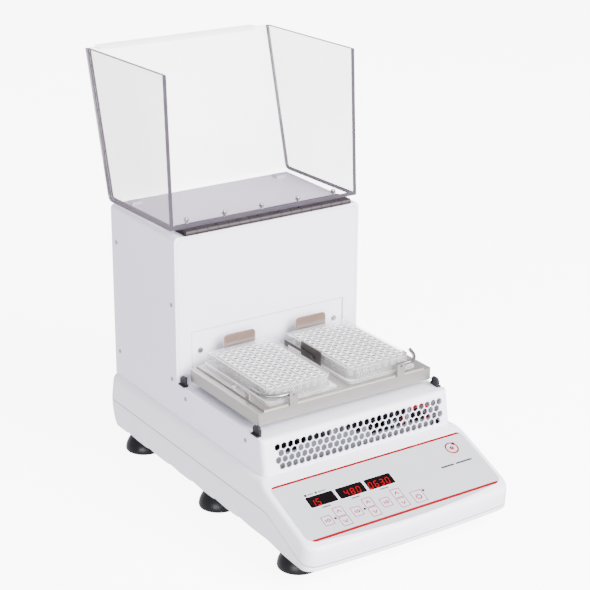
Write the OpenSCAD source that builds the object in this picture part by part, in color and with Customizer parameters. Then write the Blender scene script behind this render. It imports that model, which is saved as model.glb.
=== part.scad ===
// Incubating orbital shaker for two microplates: a moulded base with a sloping console, a sheet-metal
// cabinet with a tower, a hinged clear lid, and a tray carried in a small circle by three eccentrics.
// Millimetres, +Z up, +X to the right of a user who faces the console, -Y towards the user.
// Lengths along Y are worked out from the middle of the base and shifted to the part's frame at the end.

/* [Base] */
// Width of the base at its parting line
base_w = 255.5; // [250:0.5:262]
// Front of the base, measured from the middle of the base
base_front = -210.5; // [-212:0.5:-207]
// Rear of the base, measured from the middle of the base
base_rear = 203; // [201:0.5:210]
// Radius of the base's corners seen from above
base_corner_r = 17; // [15:1:26]
// Height of the flat top of the base
deck_z = 86; // [86:1:88]
// Height of the parting line along the sides
part_z = 58.2; // [56:0.1:60]
// Height of the base's underside
floor_z = 23; // [22:0.5:24]
// Wall thickness of the moulded shells
shell_t = 3; // [2.5:0.1:3.2]

/* [Feet] */
// Radius of a rubber foot on the bench
foot_r = 22; // [18:0.5:23]
// Distance of the feet from the middle plane
foot_x = 100.6; // [98:0.1:101]
// Places of the three feet on each side along Y
foot_y = [-153.5, 0.3, 164.5];

/* [Console] */
// Width of the printed overlay
overlay_w = 241.2; // [236:0.2:242]
// Height of the overlay's middle along the slope, above the lower red line
overlay_top_v = 37.8; // [36:0.1:39]
// Lowest point of the overlay's bowed lower edge along the slope
overlay_low_v = -46.8; // [-47.2:0.1:-46]
// Slope of the console
slope_deg = 21.65; // [21:0.05:22]
// Size of a display window
window_size = [29.8, 12.4];
// Spacing of the three display and key groups
group_pitch = 35.5; // [35:0.1:36]

/* [Cabinet] */
// Width of the cabinet
cab_w = 235; // [233:0.5:236]
// Thickness of the sheet steel
sheet_t = 1.5; // [1.2:0.1:1.6]
// Top of the tower
tower_z = 287.6; // [285:0.2:290]
// Front face of the tower
tower_front_y = 57; // [56.5:0.1:58]
// Rear face of the tower
tower_rear_y = 197; // [195:0.5:198]
// Height of the rim that the lid closes onto
rim_z = 123.4; // [123:0.1:123.6]
// Front face of the chamber at the deck and at the rim
chamber_front = [-117.6, -110.7];
// Across the flats of a grille hole
grille_hole = 6.9; // [6:0.1:7]
// Spacing of the grille holes
grille_pitch = 7.86; // [7.6:0.02:7.9]

/* [Lid] */
// Outer width of the lid
lid_w = 237; // [236:0.5:238]
// Thickness of the clear sheet
lid_t = 4.5; // [4:0.1:5]
// Depth of the lid's top panel
lid_top_d = 137; // [134:0.5:138]
// Length of the lid's lower edge
lid_low_d = 170.3; // [168:0.1:172]
// Height of the lid
lid_h = 162.8; // [160:0.1:162.8]
// How far the rear edge of a side panel leans forward at the bottom
lid_rear_lean = 5.4; // [4:0.1:6]
// Angle between the lid as it lies open and the closed lid
lid_travel_deg = 181.3; // [181:0.1:181.5]

/* [Tray] */
// Width of the tray
tray_w = 217.8; // [210:0.2:218]
// Front edge of the tray
tray_front = -92.1; // [-93:0.1:-91]
// Rear edge of the tray
tray_rear = 43.4; // [42:0.1:44]
// Top of the tray
tray_z = 143.8; // [143:0.1:145]
// Height of the tray's turned-down sides
tray_h = 12.9; // [12:0.1:13.5]
// Radius of the tray's circular motion
orbit_r = 1.5; // [1:0.1:1.6]

/* [Hidden] */
$fn = 48;
eps = 0.01;
gap = 0.3;
fit_gap = 0.05;

// Console plane: a point on it, and the directions up the slope and out of the console
slope_y = -165.35;
slope_z = deck_z - 18.75;
slope_tan = tan(slope_deg);
base_bow = 3.5;
bow_r = 1600;
slope_top_y = slope_y + (deck_z - slope_z) / slope_tan;
nose_z = slope_z + (base_front - base_bow + 3 - slope_y) * slope_tan;
nose_part_z = deck_z - 57.5;
kink_y = -135.6;
overlay_t = 0.8;
overlay_corner_v = -39.7;
group_u = [for (i = [0:2]) -77.2 + i * group_pitch];
window_v = 6.4;
onoff_size = [11.4, 12];
power_size = [14.2, 15.4];
key_gap = 0.15;
key_t = 1.4;
// Keys: place along the console, place up the slope, and size. On/off, up and down for each group, power
KEYS = concat(
    [for (u = group_u) each [[u - 9.7, -20.2, onoff_size], [u + 7.9, -13.8, onoff_size],
                             [u + 7.9, -26.6, onoff_size]]],
    [[21.7, -25.4, power_size]]);
lamp_uv = [[-90.9, 16.1], [-78.3, 16.1], [-77.6, -20.2], [-42, -20.2], [31, -20]];
lamp_r = 1.05;
board_n = -13;
board_t = 1.6;

// Hinge axis, along X
hinge_r = 3.2;
hinge_y = 56.5;
hinge_z = tower_z + hinge_r;
hinge_w = 209;
knuckle_n = 16;
knuckle_l = hinge_w / knuckle_n;
leaf_t = 1.2;
leaf_start = hinge_r + 0.6;
leaf_end = 22;
pin_r = 1.4;
lid_screw_x = [for (i = [-2:2]) i * 46.7];
lid_screw_d = 15.8;
lid_back = 6.6;
lid_bend_r = 8;
lip_d = 12;
lip_inset = 13;
lid_front_d = lid_low_d + lid_rear_lean;
lid_slope = atan((lid_front_d - lid_top_d) / lid_h);

// The lid lies open at rest: a point of the closed lid, given from the hinge axis, turned open
function opened(y, z) = [hinge_y + y * cos(lid_travel_deg) + z * sin(lid_travel_deg),
                         hinge_z - y * sin(lid_travel_deg) + z * cos(lid_travel_deg)];
lid_far_y = opened(-lid_back - lid_front_d - lip_d, -hinge_r - lid_h)[0];
frame_shift_y = -(lid_far_y + base_front - base_bow) / 2;

// Drive
crank_xy = [0, -62];
idler_xy = [[-70, 14], [70, 14]];
motor_xy = [76, -70];
shaft_r = 5;
pin_top_r = 4;
shaft_top_z = 124;
pulley_z = 70;
pulley_h = 10;
crank_pulley_r = 32;
motor_pulley_r = 10;
belt_t = 1.6;
pillar_r = 15;
pillar_top_z = 66;
plate_z = floor_z + shell_t;
plate_t = 3;
carriage_z = tray_z - 2 - 10;
carriage_t = 10;
tray_t = 2;
tray_screw = [97.2, -26.9];
holder_t = 2;
chamber_floor_z = 110;
post_x = [-66.2, 68.9];
post_w = 9.4;
post_top_z = 157.5;
rear_tab_x = [-46.6, 45.6];
rear_tab_w = 39;
rear_tab_top = 172.6;
side_tab_top = 152.4;

// Microplates
mp_w = 85.48;
mp_d = 127.76;
mp_h = 14.35;
mp_x = 50.15;
mp_y = -21.6;
mp_z = tray_z + holder_t + fit_gap;
well_pitch = 9;
well_r = 3.3;
well_d = 10.7;
clip_z = 155;
clip_r = 1.9;
clip_y = -87.6;

// Thermal
fan_size = 60;
fan_t = 20;
fan_x = 0;
fan_z = 152;
rear_fan_size = 80;
rear_fan_z = 222;

// ---------------------------------------------------------------- helpers

module in_frame() { translate([0, frame_shift_y, 0]) children(); }

module both_sides() {
    children();
    mirror([1, 0, 0]) children();
}

// Rounded rectangle from corner to corner
module rounded_rect(x0, y0, x1, y1, r) {
    translate([x0 + r, y0]) square([x1 - x0 - 2 * r, y1 - y0]);
    translate([x0, y0 + r]) square([x1 - x0, y1 - y0 - 2 * r]);
    for (x = [x0 + r, x1 - r], y = [y0 + r, y1 - r]) translate([x, y]) circle(r);
}

// An outline in Y and Z, extruded along X
module along_x(x0, x1) { translate([x0, 0, 0]) rotate([90, 0, 90]) linear_extrude(x1 - x0) children(); }

// An outline in X and Z, extruded along Y
module along_y(y0, y1) { translate([0, y1, 0]) rotate([90, 0, 0]) linear_extrude(y1 - y0) children(); }

// Children are drawn with X along the console, Y up its slope and Z out of it
module on_console() { translate([0, slope_y, slope_z]) rotate([slope_deg, 0, 0]) children(); }

module block(p0, p1) { translate(p0) cube(p1 - p0); }

function arc(c, r, a0, a1, n) = [for (i = [0:n]) c + r * [cos(a0 + (a1 - a0) * i / n),
                                                          sin(a0 + (a1 - a0) * i / n)]];

module pan_screw(head_r, shaft_r, l) {
    cylinder(r = head_r, h = 0.9);
    translate([0, 0, 0.9]) cylinder(r = head_r * 0.72, h = 0.7);
    translate([0, 0, -l]) cylinder(r = shaft_r, h = l + eps);
}

// ---------------------------------------------------------------- base

// Outside of the two base shells, or the same form drawn in by i on every side
module base_form(i) {
    w = base_w / 2 - i;
    intersection() {
        along_y(base_front - 10, base_rear + 10) polygon([
            [-w + 7, floor_z + i], [w - 7, floor_z + i], [w - 4.4, floor_z + 2 + i], [w, part_z],
            [w - 2.6, deck_z - 10], [w - 4.6, deck_z - 4.4 - i * 0.4], [w - 7.4, deck_z - 1.4 - i * 0.7],
            [w - 10.6, deck_z - i], [-w + 10.6, deck_z - i], [-w + 7.4, deck_z - 1.4 - i * 0.7],
            [-w + 4.6, deck_z - 4.4 - i * 0.4], [-w + 2.6, deck_z - 10], [-w, part_z],
            [-w + 4.4, floor_z + 2 + i]]);
        along_x(-base_w, base_w) polygon([
            [base_rear - 16 - i, floor_z + i], [base_rear - 12 - i, floor_z + 3 + i],
            [base_rear - i, part_z], [base_rear - 0.6 - i, deck_z - 8],
            [base_rear - 2.6 - i, deck_z - 2.6 - i * 0.5], [base_rear - 5.6 - i, deck_z - i],
            [slope_top_y - i * 0.2, deck_z - i], [base_front - base_bow + 3 + i, nose_z - i],
            [base_front - base_bow + i, nose_z - 2.4], [base_front - base_bow + i, nose_part_z],
            [base_front - base_bow + 2.5 + i, floor_z + i]]);
        linear_extrude(deck_z + 10) intersection() {
            rounded_rect(-w, base_front - base_bow + i, w, base_rear - i, base_corner_r - i);
            translate([0, base_front - base_bow + i + bow_r]) circle(bow_r, $fn = 200);
        }
    }
}

// Everything above the parting line
module above_parting(z) {
    along_x(-base_w, base_w) polygon([
        [base_rear + 20, part_z + z], [base_rear + 20, deck_z + 20], [base_front - 20, deck_z + 20],
        [base_front - 20, nose_part_z + z], [base_front + 10, nose_part_z + 1.2 + z],
        [base_front + 20, nose_part_z + 5.2 + z], [kink_y, part_z + z]]);
}

boss_xy = [for (x = [-112, 112], y = [-100, 60, 140]) [x, y]];

module lower_shell() {
    color("ghostwhite") difference() {
        base_form(0);
        base_form(shell_t);
        above_parting(0);
        for (x = [-foot_x, foot_x], y = foot_y) translate([x, y, 0]) cylinder(r = 3.2, h = 60);
        for (p = boss_xy) translate([p[0] * 0.97, p[1], 0]) cylinder(r = 2.2, h = 40);
    }
}

module upper_shell() {
    color("snow") difference() {
        union() {
            difference() {
                base_form(0);
                base_form(shell_t);
            }
            // Screw bosses that reach down to the lower shell
            for (p = boss_xy) translate([p[0] * 0.97, p[1], plate_z + gap])
                cylinder(r = 4.2, h = deck_z - plate_z - 2);
            // Standoffs for the control board
            on_console() for (u = [-100, 100], v = [-28, 28]) translate([u, v, board_n + gap])
                cylinder(r = 3.2, h = -board_n - 1);
        }
        difference() {
            translate([0, 0, -200]) cube([600, 600, 1000], center = true);
            above_parting(0.15);
            for (p = boss_xy) translate([p[0] * 0.97, p[1], plate_z]) cylinder(r = 4.3, h = 80);
        }
        // Opening under the cabinet
        translate([0, 0, deck_z - 20]) linear_extrude(40)
            rounded_rect(-cab_w / 2 + 6, chamber_front[0] + 8, cab_w / 2 - 6, tower_rear_y - 6, 8);
        // Screw holes
        for (p = boss_xy) translate([p[0] * 0.97, p[1], 0]) cylinder(r = 1.7, h = 50);
        on_console() {
            // Recess for the overlay, and windows behind it
            translate([0, 0, -overlay_t - 0.05]) linear_extrude(10) overlay_outline(0.15);
            for (u = group_u) translate([u, window_v, -20]) linear_extrude(40)
                square(window_size + [1, 1], center = true);
            for (k = KEYS) translate([k[0], k[1], -20]) linear_extrude(40)
                square(k[2] + [0.6, 0.6], center = true);
            for (q = lamp_uv) translate([q[0], q[1], -20]) cylinder(r = 1.6, h = 40);
            for (u = [-100, 100], v = [-28, 28]) translate([u, v, board_n]) cylinder(r = 1.3, h = 8);
        }
    }
}

module chassis_plate() {
    color("silver") difference() {
        union() {
            translate([0, 0, plate_z]) linear_extrude(plate_t) rounded_rect(-104, -190, 104, 180, 8);
            // Baffle behind the grille
            along_y(-106, -104.8) polygon([
                [-99, plate_z], [-99, 106.4], [-85, 106.4], [-85, 101], [-71, 101], [-71, 106.4],
                [-31, 106.4], [-31, 113], [-23, 113], [-23, 106.4], [0, 106.4], [0, 99.5], [10, 99.5],
                [10, 106], [15, 106], [15, 99.5], [20, 99.5], [20, 93.5], [66, 93.5], [66, 113],
                [72, 113], [72, 93.5], [98, 93.5], [98, 113], [103, 113], [103, plate_z]]);
        }
        for (x = [-foot_x, foot_x], y = foot_y) translate([x, y, 0]) cylinder(r = 3.2, h = 60);
    }
}

module feet() {
    inner = [[0, 4], [13, 3.4], [17, 0]];
    outer = [[foot_r, 0], [foot_r, 2], [foot_r - 0.4, 5], [foot_r - 1.6, 9], [foot_r - 3.6, 13],
             [foot_r - 6.4, 17], [foot_r - 10, 20.5], [foot_r - 12, floor_z - fit_gap],
             [3.2, floor_z - fit_gap], [3.2, 12], [0, 12]];
    color([0.06, 0.06, 0.07]) for (x = [-foot_x, foot_x], y = foot_y) translate([x, y, 0])
        rotate_extrude() polygon(concat(inner, outer));
}

module base_screws() {
    color("gainsboro") {
        for (x = [-foot_x, foot_x], y = foot_y) translate([x, y, 0]) {
            translate([0, 0, 12.2]) cylinder(r = 2.9, h = plate_z + plate_t - 12.2 + 2);
            translate([0, 0, plate_z + plate_t + fit_gap]) cylinder(r = 5.4, h = 4, $fn = 6);
        }
        for (p = boss_xy) translate([p[0] * 0.97, p[1], floor_z - 0.1]) rotate([180, 0, 0])
            pan_screw(3.6, 1.5, 18);
        on_console() for (u = [-100, 100], v = [-28, 28]) translate([u, v, board_n - board_t - 0.1])
            rotate([180, 0, 0]) pan_screw(2.6, 1.1, 7);
    }
}

module power_supply() {
    color("darkgray") translate([-92, 92, plate_z + plate_t + 3]) {
        difference() {
            cube([84, 70, 32]);
            translate([1.2, 1.2, 1.2]) cube([81.6, 67.6, 40]);
        }
        translate([6, 8, 1]) cube([70, 54, 3]);
        translate([12, 16, 3]) cube([26, 22, 22]);
        for (x = [48, 60], y = [20, 40]) translate([x, y, 3]) cylinder(r = 5, h = 20);
        for (x = [6, 78], y = [6, 64]) translate([x, y, -3]) cylinder(r = 3, h = 3.5);
    }
}

// ---------------------------------------------------------------- console

module overlay_outline(i) {
    w = overlay_w / 2 + i;
    low_r = 836;
    intersection() {
        rounded_rect(-w, overlay_low_v - 14, w, overlay_top_v + i, 4);
        translate([0, overlay_low_v - i + low_r]) circle(low_r, $fn = 200);
        union() {
            rounded_rect(-w, overlay_corner_v - i, w, 200, 10);
            translate([-w + 10, overlay_low_v - 20]) square([2 * w - 20, 200]);
        }
    }
}

module control_overlay() {
    color([0.84, 0.85, 0.87]) on_console() translate([0, 0, -overlay_t]) linear_extrude(overlay_t)
        difference() {
            overlay_outline(0);
            for (u = group_u) translate([u, window_v]) square(window_size, center = true);
            for (k = KEYS) translate([k[0], k[1]])
                square(k[2] + 2 * [key_gap, key_gap], center = true);
            for (q = lamp_uv) translate(q) circle(lamp_r + 0.1, $fn = 24);
        }
}

// Tinted windows with the display blocks behind them
module display_modules() {
    s = window_size - [0.1, 0.1];
    color([0.05, 0.03, 0.03]) on_console() for (u = group_u) translate([u, window_v, 0]) {
        translate([-s[0] / 2, -s[1] / 2, -1.8]) cube([s[0], s[1], 1.7]);
        translate([-s[0] / 2 + 0.6, -s[1] / 2 + 0.6, board_n + 0.05])
            cube([s[0] - 1.2, s[1] - 1.2, -board_n - 1.7]);
    }
}

module control_board() {
    color("darkgreen") on_console() {
        difference() {
            translate([0, 0, board_n - board_t]) linear_extrude(board_t)
                translate([-108, -34]) square([216, 66]);
            for (u = [-100, 100], v = [-28, 28]) translate([u, v, board_n - 5])
                cylinder(r = 1.3, h = 8);
        }
        // Key switches and indicator lamps
        for (k = KEYS) translate([k[0] - 3, k[1] - 3, board_n - eps])
            cube([6, 6, -board_n - overlay_t - key_t - 1.1]);
        for (q = lamp_uv) translate([q[0], q[1], board_n - eps])
            cylinder(r = lamp_r - 0.05, h = -board_n - 0.2);
        translate([60, -10, board_n - eps]) cube([22, 22, 3]);
    }
}

// A key's printed face is level with the overlay, and the key moves in along the slope's normal
module key(k) {
    color([0.86, 0.87, 0.88]) on_console() translate([k[0], k[1], 0]) {
        translate([-k[2][0] / 2, -k[2][1] / 2, -overlay_t]) cube([k[2][0], k[2][1], overlay_t]);
        translate([-k[2][0] / 2 + 1.5, -k[2][1] / 2 + 1.5, -overlay_t - key_t])
            cube([k[2][0] - 3, k[2][1] - 3, key_t + eps]);
    }
}

// ---------------------------------------------------------------- cabinet

lean = atan((chamber_front[1] - chamber_front[0]) / (rim_z - deck_z));
side_cut_y = -102;
sill_w = 21;
grille_rows = 4;
grille_row_pitch = grille_pitch * cos(30);
grille_mid_x = 3;

// The tower's cross section, drawn in by i
module tower_section(i) {
    rounded_rect(-cab_w / 2 + i, deck_z - 20, cab_w / 2 - i, tower_z - i, 5);
}

// Side wall of the chamber with the sill folded in over it, or its inside
module sill_section(i) {
    rounded_rect(-cab_w / 2 + i, deck_z - 20 - i, -cab_w / 2 + sill_w - 2, rim_z - i, 3 - i);
    translate([-cab_w / 2 + 8, deck_z - 20 - i]) square([sill_w - 8 + i, rim_z - deck_z + 20]);
}

module cabinet_wrap() {
    flange = 3.5;
    color("white") difference() {
        union() {
            // Tower: sides and top, with a narrow flange round the front and the rear
            along_y(tower_front_y, tower_rear_y) difference() {
                tower_section(0);
                tower_section(sheet_t);
            }
            for (y = [tower_front_y, tower_rear_y - sheet_t]) along_y(y, y + sheet_t) difference() {
                tower_section(0);
                tower_section(flange);
            }
            // Chamber sides with the folded rim
            both_sides() along_y(side_cut_y, tower_front_y + eps) difference() {
                sill_section(0);
                sill_section(sheet_t);
            }
        }
        block([-200, -300, 0], [200, 300, deck_z + 0.05]);
        // Space for the chamber's contents in front of the tower's flange
        block([-cab_w / 2 + sheet_t, tower_front_y - 1, deck_z], [cab_w / 2 - sheet_t, tower_front_y
            + sheet_t + 0.1, rim_z - 12]);
        // Hinge screws and side screws
        for (x = hinge_screw_x) translate([x, hinge_y + 14, tower_z - 5]) cylinder(r = 1.6, h = 10);
        for (q = side_screw_yz) translate([0, q[0], q[1]]) rotate([0, 90, 0])
            cylinder(r = 1.7, h = 300, center = true);
    }
}

side_screw_yz = [[66.8, deck_z + 39.8], [38.6, deck_z + 26.7], [-81.2, deck_z + 27.2],
                 [65.3, deck_z + 125.3], [186, deck_z + 30], [186, deck_z + 160]];
hinge_screw_x = [for (i = [-2:2]) i * 46.7 + 15];
back_screw_xz = [for (x = [-107, 107], z = [deck_z + 14, deck_z + 100, deck_z + 186]) [x, z]];

// Outside of the chamber's front, or the same form drawn in by i
module chamber_form(i) {
    y0 = chamber_front[0] + i;
    y1 = chamber_front[1] + i;
    r = 6 - i;
    intersection() {
        along_x(-cab_w / 2 + i, cab_w / 2 - i) polygon(concat(
            [[0, deck_z - 10], [y0 - 10 * tan(lean), deck_z - 10]],
            arc([y1 + r * 0.83, rim_z - i - r], r, 180 - lean, 90, 8),
            [[0, rim_z - i]]));
        translate([0, chamber_front[0], deck_z]) rotate([-lean, 0, 0]) translate([0, 0, -20])
            linear_extrude(80) rounded_rect(-cab_w / 2 + i, i, cab_w / 2 - i, 80, 5.5 - i);
    }
}

module grille_holes() {
    for (row = [0:grille_rows - 1]) {
        n = row % 2 == 0 ? 27 : 26;
        for (k = [0:n - 1]) translate([(k - (n - 1) / 2) * grille_pitch,
                                       (1.5 - row) * grille_row_pitch])
            rotate(30) circle(r = grille_hole / sqrt(3), $fn = 6);
    }
}

module front_housing() {
    win_w = 27 * grille_pitch + 2;
    win_h = 4 * grille_row_pitch + 3;
    color("white") {
        difference() {
            chamber_form(0);
            chamber_form(sheet_t);
            block([-200, -300, 0], [200, 300, deck_z + 0.05]);
            // Side returns end where the cabinet's sides begin
            both_sides() block([-200, side_cut_y - 0.1, 0], [-cab_w / 2 + sill_w + 0.1, 300, 300]);
            block([-200, -74, 0], [200, 300, 300]);
            translate([0, chamber_front[0], deck_z]) rotate([90 - lean, 0, 0])
                translate([grille_mid_x - win_w / 2, 17.1 / cos(lean) - win_h / 2, -3])
                    cube([win_w, win_h, 8]);
        }
        // Perforated field of the grille
        translate([0, chamber_front[0], deck_z]) rotate([90 - lean, 0, 0])
            translate([grille_mid_x, 17.1 / cos(lean), -sheet_t]) linear_extrude(sheet_t) difference() {
                square([win_w + 0.2, win_h + 0.2], center = true);
                grille_holes();
            }
    }
}

module chamber_floor() {
    color("whitesmoke") difference() {
        union() {
            block([-106, -100, chamber_floor_z], [106, tower_front_y + 1, chamber_floor_z + 2]);
            both_sides() block([-106, -100, chamber_floor_z], [-104, 53, rim_z - sheet_t - 2]);
            block([-106, -100, chamber_floor_z], [106, -98, rim_z - sheet_t - 2]);
        }
        for (p = concat([crank_xy], idler_xy)) translate([p[0], p[1], chamber_floor_z - 5])
            cylinder(r = 9, h = 12);
    }
}

// Rubber guides on the rim: an upright inside the lid's wall and a thin seat under it
module lid_bumpers() {
    h = 10;
    c = 3;
    color([0.13, 0.13, 0.15]) both_sides() for (y0 = [-101.5, 43.5]) difference() {
        union() {
            along_x(-113.7, -111) polygon([
                [y0, rim_z], [y0 + 12.6, rim_z], [y0 + 12.6, rim_z + h - c], [y0 + 12.6 - c, rim_z + h],
                [y0 + c, rim_z + h], [y0, rim_z + h - c]]);
            block([-116.4, y0, rim_z], [-113.7, y0 + 12.6, rim_z + 1.2]);
        }
        // Relief for the corners of the tray as it orbits
        block([-112.3, tray_front - 2.2, rim_z + 3], [-110, tray_rear + 2.2, rim_z + h + 1]);
    }
    // Pads under the open lid
    pad_y = tower_rear_y - 14;
    pad_top = hinge_z + hinge_r - (pad_y + 5 - hinge_y) * sin(lid_travel_deg - 180) - fit_gap;
    color([0.13, 0.13, 0.15]) both_sides() block([-100, pad_y - 5, tower_z], [-88, pad_y + 5, pad_top]);
}

duct_screw_xz = [[-87, 155.5], [87, 155.5]];

module tower_front() {
    color("white") along_y(tower_front_y, tower_front_y + sheet_t) difference() {
        rounded_rect(-cab_w / 2 + 3.8, chamber_floor_z + 2.2, cab_w / 2 - 3.8, tower_z - 3.8, 5);
        translate([-98.2, 0]) square([196.4, deck_z + 92.8]);
    }
}

module duct_plate() {
    color("white") difference() {
        along_y(tower_front_y + sheet_t + 0.05, tower_front_y + 2 * sheet_t) difference() {
            rounded_rect(-104, chamber_floor_z + 2.2, 104, deck_z + 98, 3);
            // Air slots, low behind the tray
            for (x = [-66, 0, 66]) translate([x - 20, 117]) square([40, 14]);
            for (q = duct_screw_xz) translate(q) circle(1.7);
        }
    }
}

module tower_back() {
    color("white") difference() {
        along_y(tower_rear_y - sheet_t, tower_rear_y) difference() {
            rounded_rect(-cab_w / 2 + 3.8, deck_z + 0.3, cab_w / 2 - 3.8, tower_z - 3.8, 5);
            // Fan guard: rings of slots between four spokes
            translate([0, rear_fan_z]) difference() {
                for (r = [10:6:36]) difference() {
                    circle(r + 2);
                    circle(r - 2);
                }
                for (a = [45, 135]) rotate(a) square([200, 4], center = true);
            }
            translate([-86, 104]) square([27.4, 20]);
            translate([-46, 104]) square([13.4, 20]);
            for (q = back_screw_xz) translate(q) circle(1.7);
        }
    }
}

module cabinet_screws() {
    color("silver") {
        for (s = [-1, 1], q = side_screw_yz) translate([s * (cab_w / 2 + fit_gap), q[0], q[1]])
            rotate([0, s * 90, 0]) {
                cylinder(r = 2.3, h = 0.5);
                translate([0, 0, -6]) cylinder(r = 1.4, h = 6 + eps);
            }
        for (q = duct_screw_xz) translate([q[0], tower_front_y + sheet_t - 0.05, q[1]])
            rotate([90, 0, 0]) pan_screw(3, 1.4, 7);
        for (q = back_screw_xz) translate([q[0], tower_rear_y + fit_gap, q[1]])
            rotate([-90, 0, 0]) pan_screw(3, 1.4, 7);
        for (x = hinge_screw_x) translate([x, hinge_y + 14, tower_z + leaf_t + fit_gap]) {
            cylinder(r = 2.6, h = 1.2);
            translate([0, 0, -7]) cylinder(r = 1.4, h = 7.1);
        }
    }
}

// ---------------------------------------------------------------- hinge and lid

// Knuckles of one leaf: every second one, from the first or the second
module knuckles(first) {
    for (k = [first:2:knuckle_n - 1]) translate([-hinge_w / 2 + k * knuckle_l + 0.1, 0, 0])
        rotate([0, 90, 0]) difference() {
            cylinder(r = hinge_r, h = knuckle_l - 0.2);
            translate([0, 0, -1]) cylinder(r = pin_r + fit_gap, h = knuckle_l + 2);
        }
}

// A leaf in the plane that touches the barrel, reaching from it to the side away from the user
module leaf(first) {
    difference() {
        union() {
            block([-hinge_w / 2, leaf_start, hinge_r - leaf_t], [hinge_w / 2, leaf_end, hinge_r]);
            for (k = [first:2:knuckle_n - 1])
                block([-hinge_w / 2 + k * knuckle_l + 0.1, 0, hinge_r - leaf_t],
                      [-hinge_w / 2 + (k + 1) * knuckle_l - 0.1, leaf_start + eps, hinge_r]);
        }
        rotate([0, 90, 0]) cylinder(r = pin_r + fit_gap, h = 300, center = true);
    }
    knuckles(first);
}

module hinge_base_leaf() {
    color([0.66, 0.61, 0.59]) translate([0, hinge_y, hinge_z]) difference() {
        mirror([0, 0, 1]) leaf(0);
        for (x = hinge_screw_x) translate([x, 14, -6]) cylinder(r = 1.6, h = 6);
    }
}

module hinge_pin() {
    color("gray") translate([0, hinge_y, hinge_z]) rotate([0, 90, 0])
        cylinder(r = pin_r, h = hinge_w + 1, center = true);
}

// The lid's pieces are drawn closed, from the hinge axis, and turned open about it
module open_lid() { translate([0, hinge_y, hinge_z]) rotate([-lid_travel_deg, 0, 0]) children(); }

lid_top = -hinge_r;
lid_fore = -lid_back - lid_top_d;

// Side outline of the lid, drawn in by i at the top and the front
function lid_outline(i) = concat(
    [[-lid_back, lid_top - i]],
    arc([lid_fore + lid_bend_r * 0.92, lid_top - lid_bend_r], lid_bend_r - i, 90, 180 - lid_slope + 0, 8),
    [[-lid_back - lid_front_d + i / cos(lid_slope), lid_top - lid_h]]);

module lid_side() {
    difference() {
        along_x(-lid_t / 2, lid_t / 2) polygon(concat(lid_outline(0),
            [[-lid_back - lid_rear_lean, lid_top - lid_h]]));
    }
}

module lid_side_left() {
    color([0.86, 0.86, 0.9, 0.4]) open_lid() translate([-lid_w / 2 + lid_t / 2, 0, 0]) lid_side();
}

module lid_side_right() {
    color([0.86, 0.86, 0.9, 0.4]) open_lid() translate([lid_w / 2 - lid_t / 2, 0, 0]) lid_side();
}

// One bent sheet: top panel, sloping front wall, and a lip along its edge to lift the lid by
module lid_sheet() {
    half = lid_w / 2 - lid_t - fit_gap;
    low_y = -lid_back - lid_front_d;
    low_z = lid_top - lid_h;
    color([0.86, 0.86, 0.9, 0.4]) open_lid() difference() {
        union() {
            along_x(-half, half) difference() {
                polygon(concat(lid_outline(0), [[-lid_back, low_z]]));
                polygon(concat([[eps, lid_top - lid_t]], lid_outline(lid_t), [[eps, low_z - eps]]));
            }
            along_x(-half + lip_inset, half - lip_inset)
                polygon([[low_y + 2, low_z], [low_y - lip_d, low_z], [low_y - lip_d, low_z + 4],
                         [low_y + 2, low_z + 4]]);
        }
        for (x = lid_screw_x) translate([x, -lid_screw_d, lid_top - 10]) cylinder(r = 1.7, h = 20);
    }
}

module hinge_lid_leaf() {
    color([0.66, 0.61, 0.59]) open_lid() difference() {
        // Closed, this leaf lies on the lid, in front of the barrel
        mirror([0, 1, 0]) mirror([0, 0, 1]) leaf(1);
        for (x = lid_screw_x) translate([x, -lid_screw_d, -6]) cylinder(r = 1.7, h = 6);
    }
}

module lid_screws() {
    color("silver") open_lid() for (x = lid_screw_x) translate([x, -lid_screw_d, lid_top]) {
        translate([0, 0, leaf_t + fit_gap]) cylinder(r = 2.7, h = 1);
        translate([0, 0, -lid_t - 4]) cylinder(r = 1.5, h = lid_t + 4 + leaf_t + 0.2);
        translate([0, 0, -lid_t - 2.9]) cylinder(r = 3.1, h = 2.8, $fn = 6);
    }
}

// ---------------------------------------------------------------- air and heat

// A fan's frame, axis along Z, from z 0 to its depth
module fan_frame(s, t) {
    difference() {
        linear_extrude(t) difference() {
            rounded_rect(-s / 2, -s / 2, s / 2, s / 2, 4);
            circle(s / 2 - 2, $fn = 96);
            for (x = [-1, 1], y = [-1, 1]) translate([x, y] * (s / 2 - 5)) circle(2);
        }
    }
    difference() {
        union() {
            cylinder(r = s * 0.2, h = 2.4);
            for (a = [45, 135]) rotate(a) translate([-s / 2, -2, 0]) cube([s, 4, 2]);
            cylinder(r = 4, h = t - 4);
        }
        translate([0, 0, 1]) cylinder(r = 2 + fit_gap, h = t);
        difference() {
            translate([0, 0, -1]) cylinder(r = s, h = t + 2);
            translate([0, 0, -2]) cylinder(r = s / 2 - 1.5, h = t + 4, $fn = 96);
        }
    }
}

// Its rotor: hub cup on a shaft, with seven blades
module fan_rotor(s, t) {
    difference() {
        translate([0, 0, 3.4]) cylinder(r = s * 0.2, h = t - 4);
        translate([0, 0, 3.3]) cylinder(r = s * 0.2 - 1.6, h = t - 6);
    }
    translate([0, 0, 1.5]) cylinder(r = 2, h = t - 3);
    for (k = [0:6]) rotate(k * 360 / 7) translate([s * 0.2 - 0.8, 0, t / 2 + 1]) rotate([38, 0, 0])
        translate([0, -0.6, -t * 0.34]) cube([s * 0.26, 1.2, t * 0.68]);
}

circ_y = tower_front_y + 2 * sheet_t + 0.5;
exhaust_y = tower_rear_y - sheet_t - 0.3;

module circulation_fan() {
    color([0.12, 0.12, 0.13]) translate([fan_x, circ_y + fan_t, fan_z]) rotate([90, 0, 0])
        fan_frame(fan_size, fan_t);
}

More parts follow.
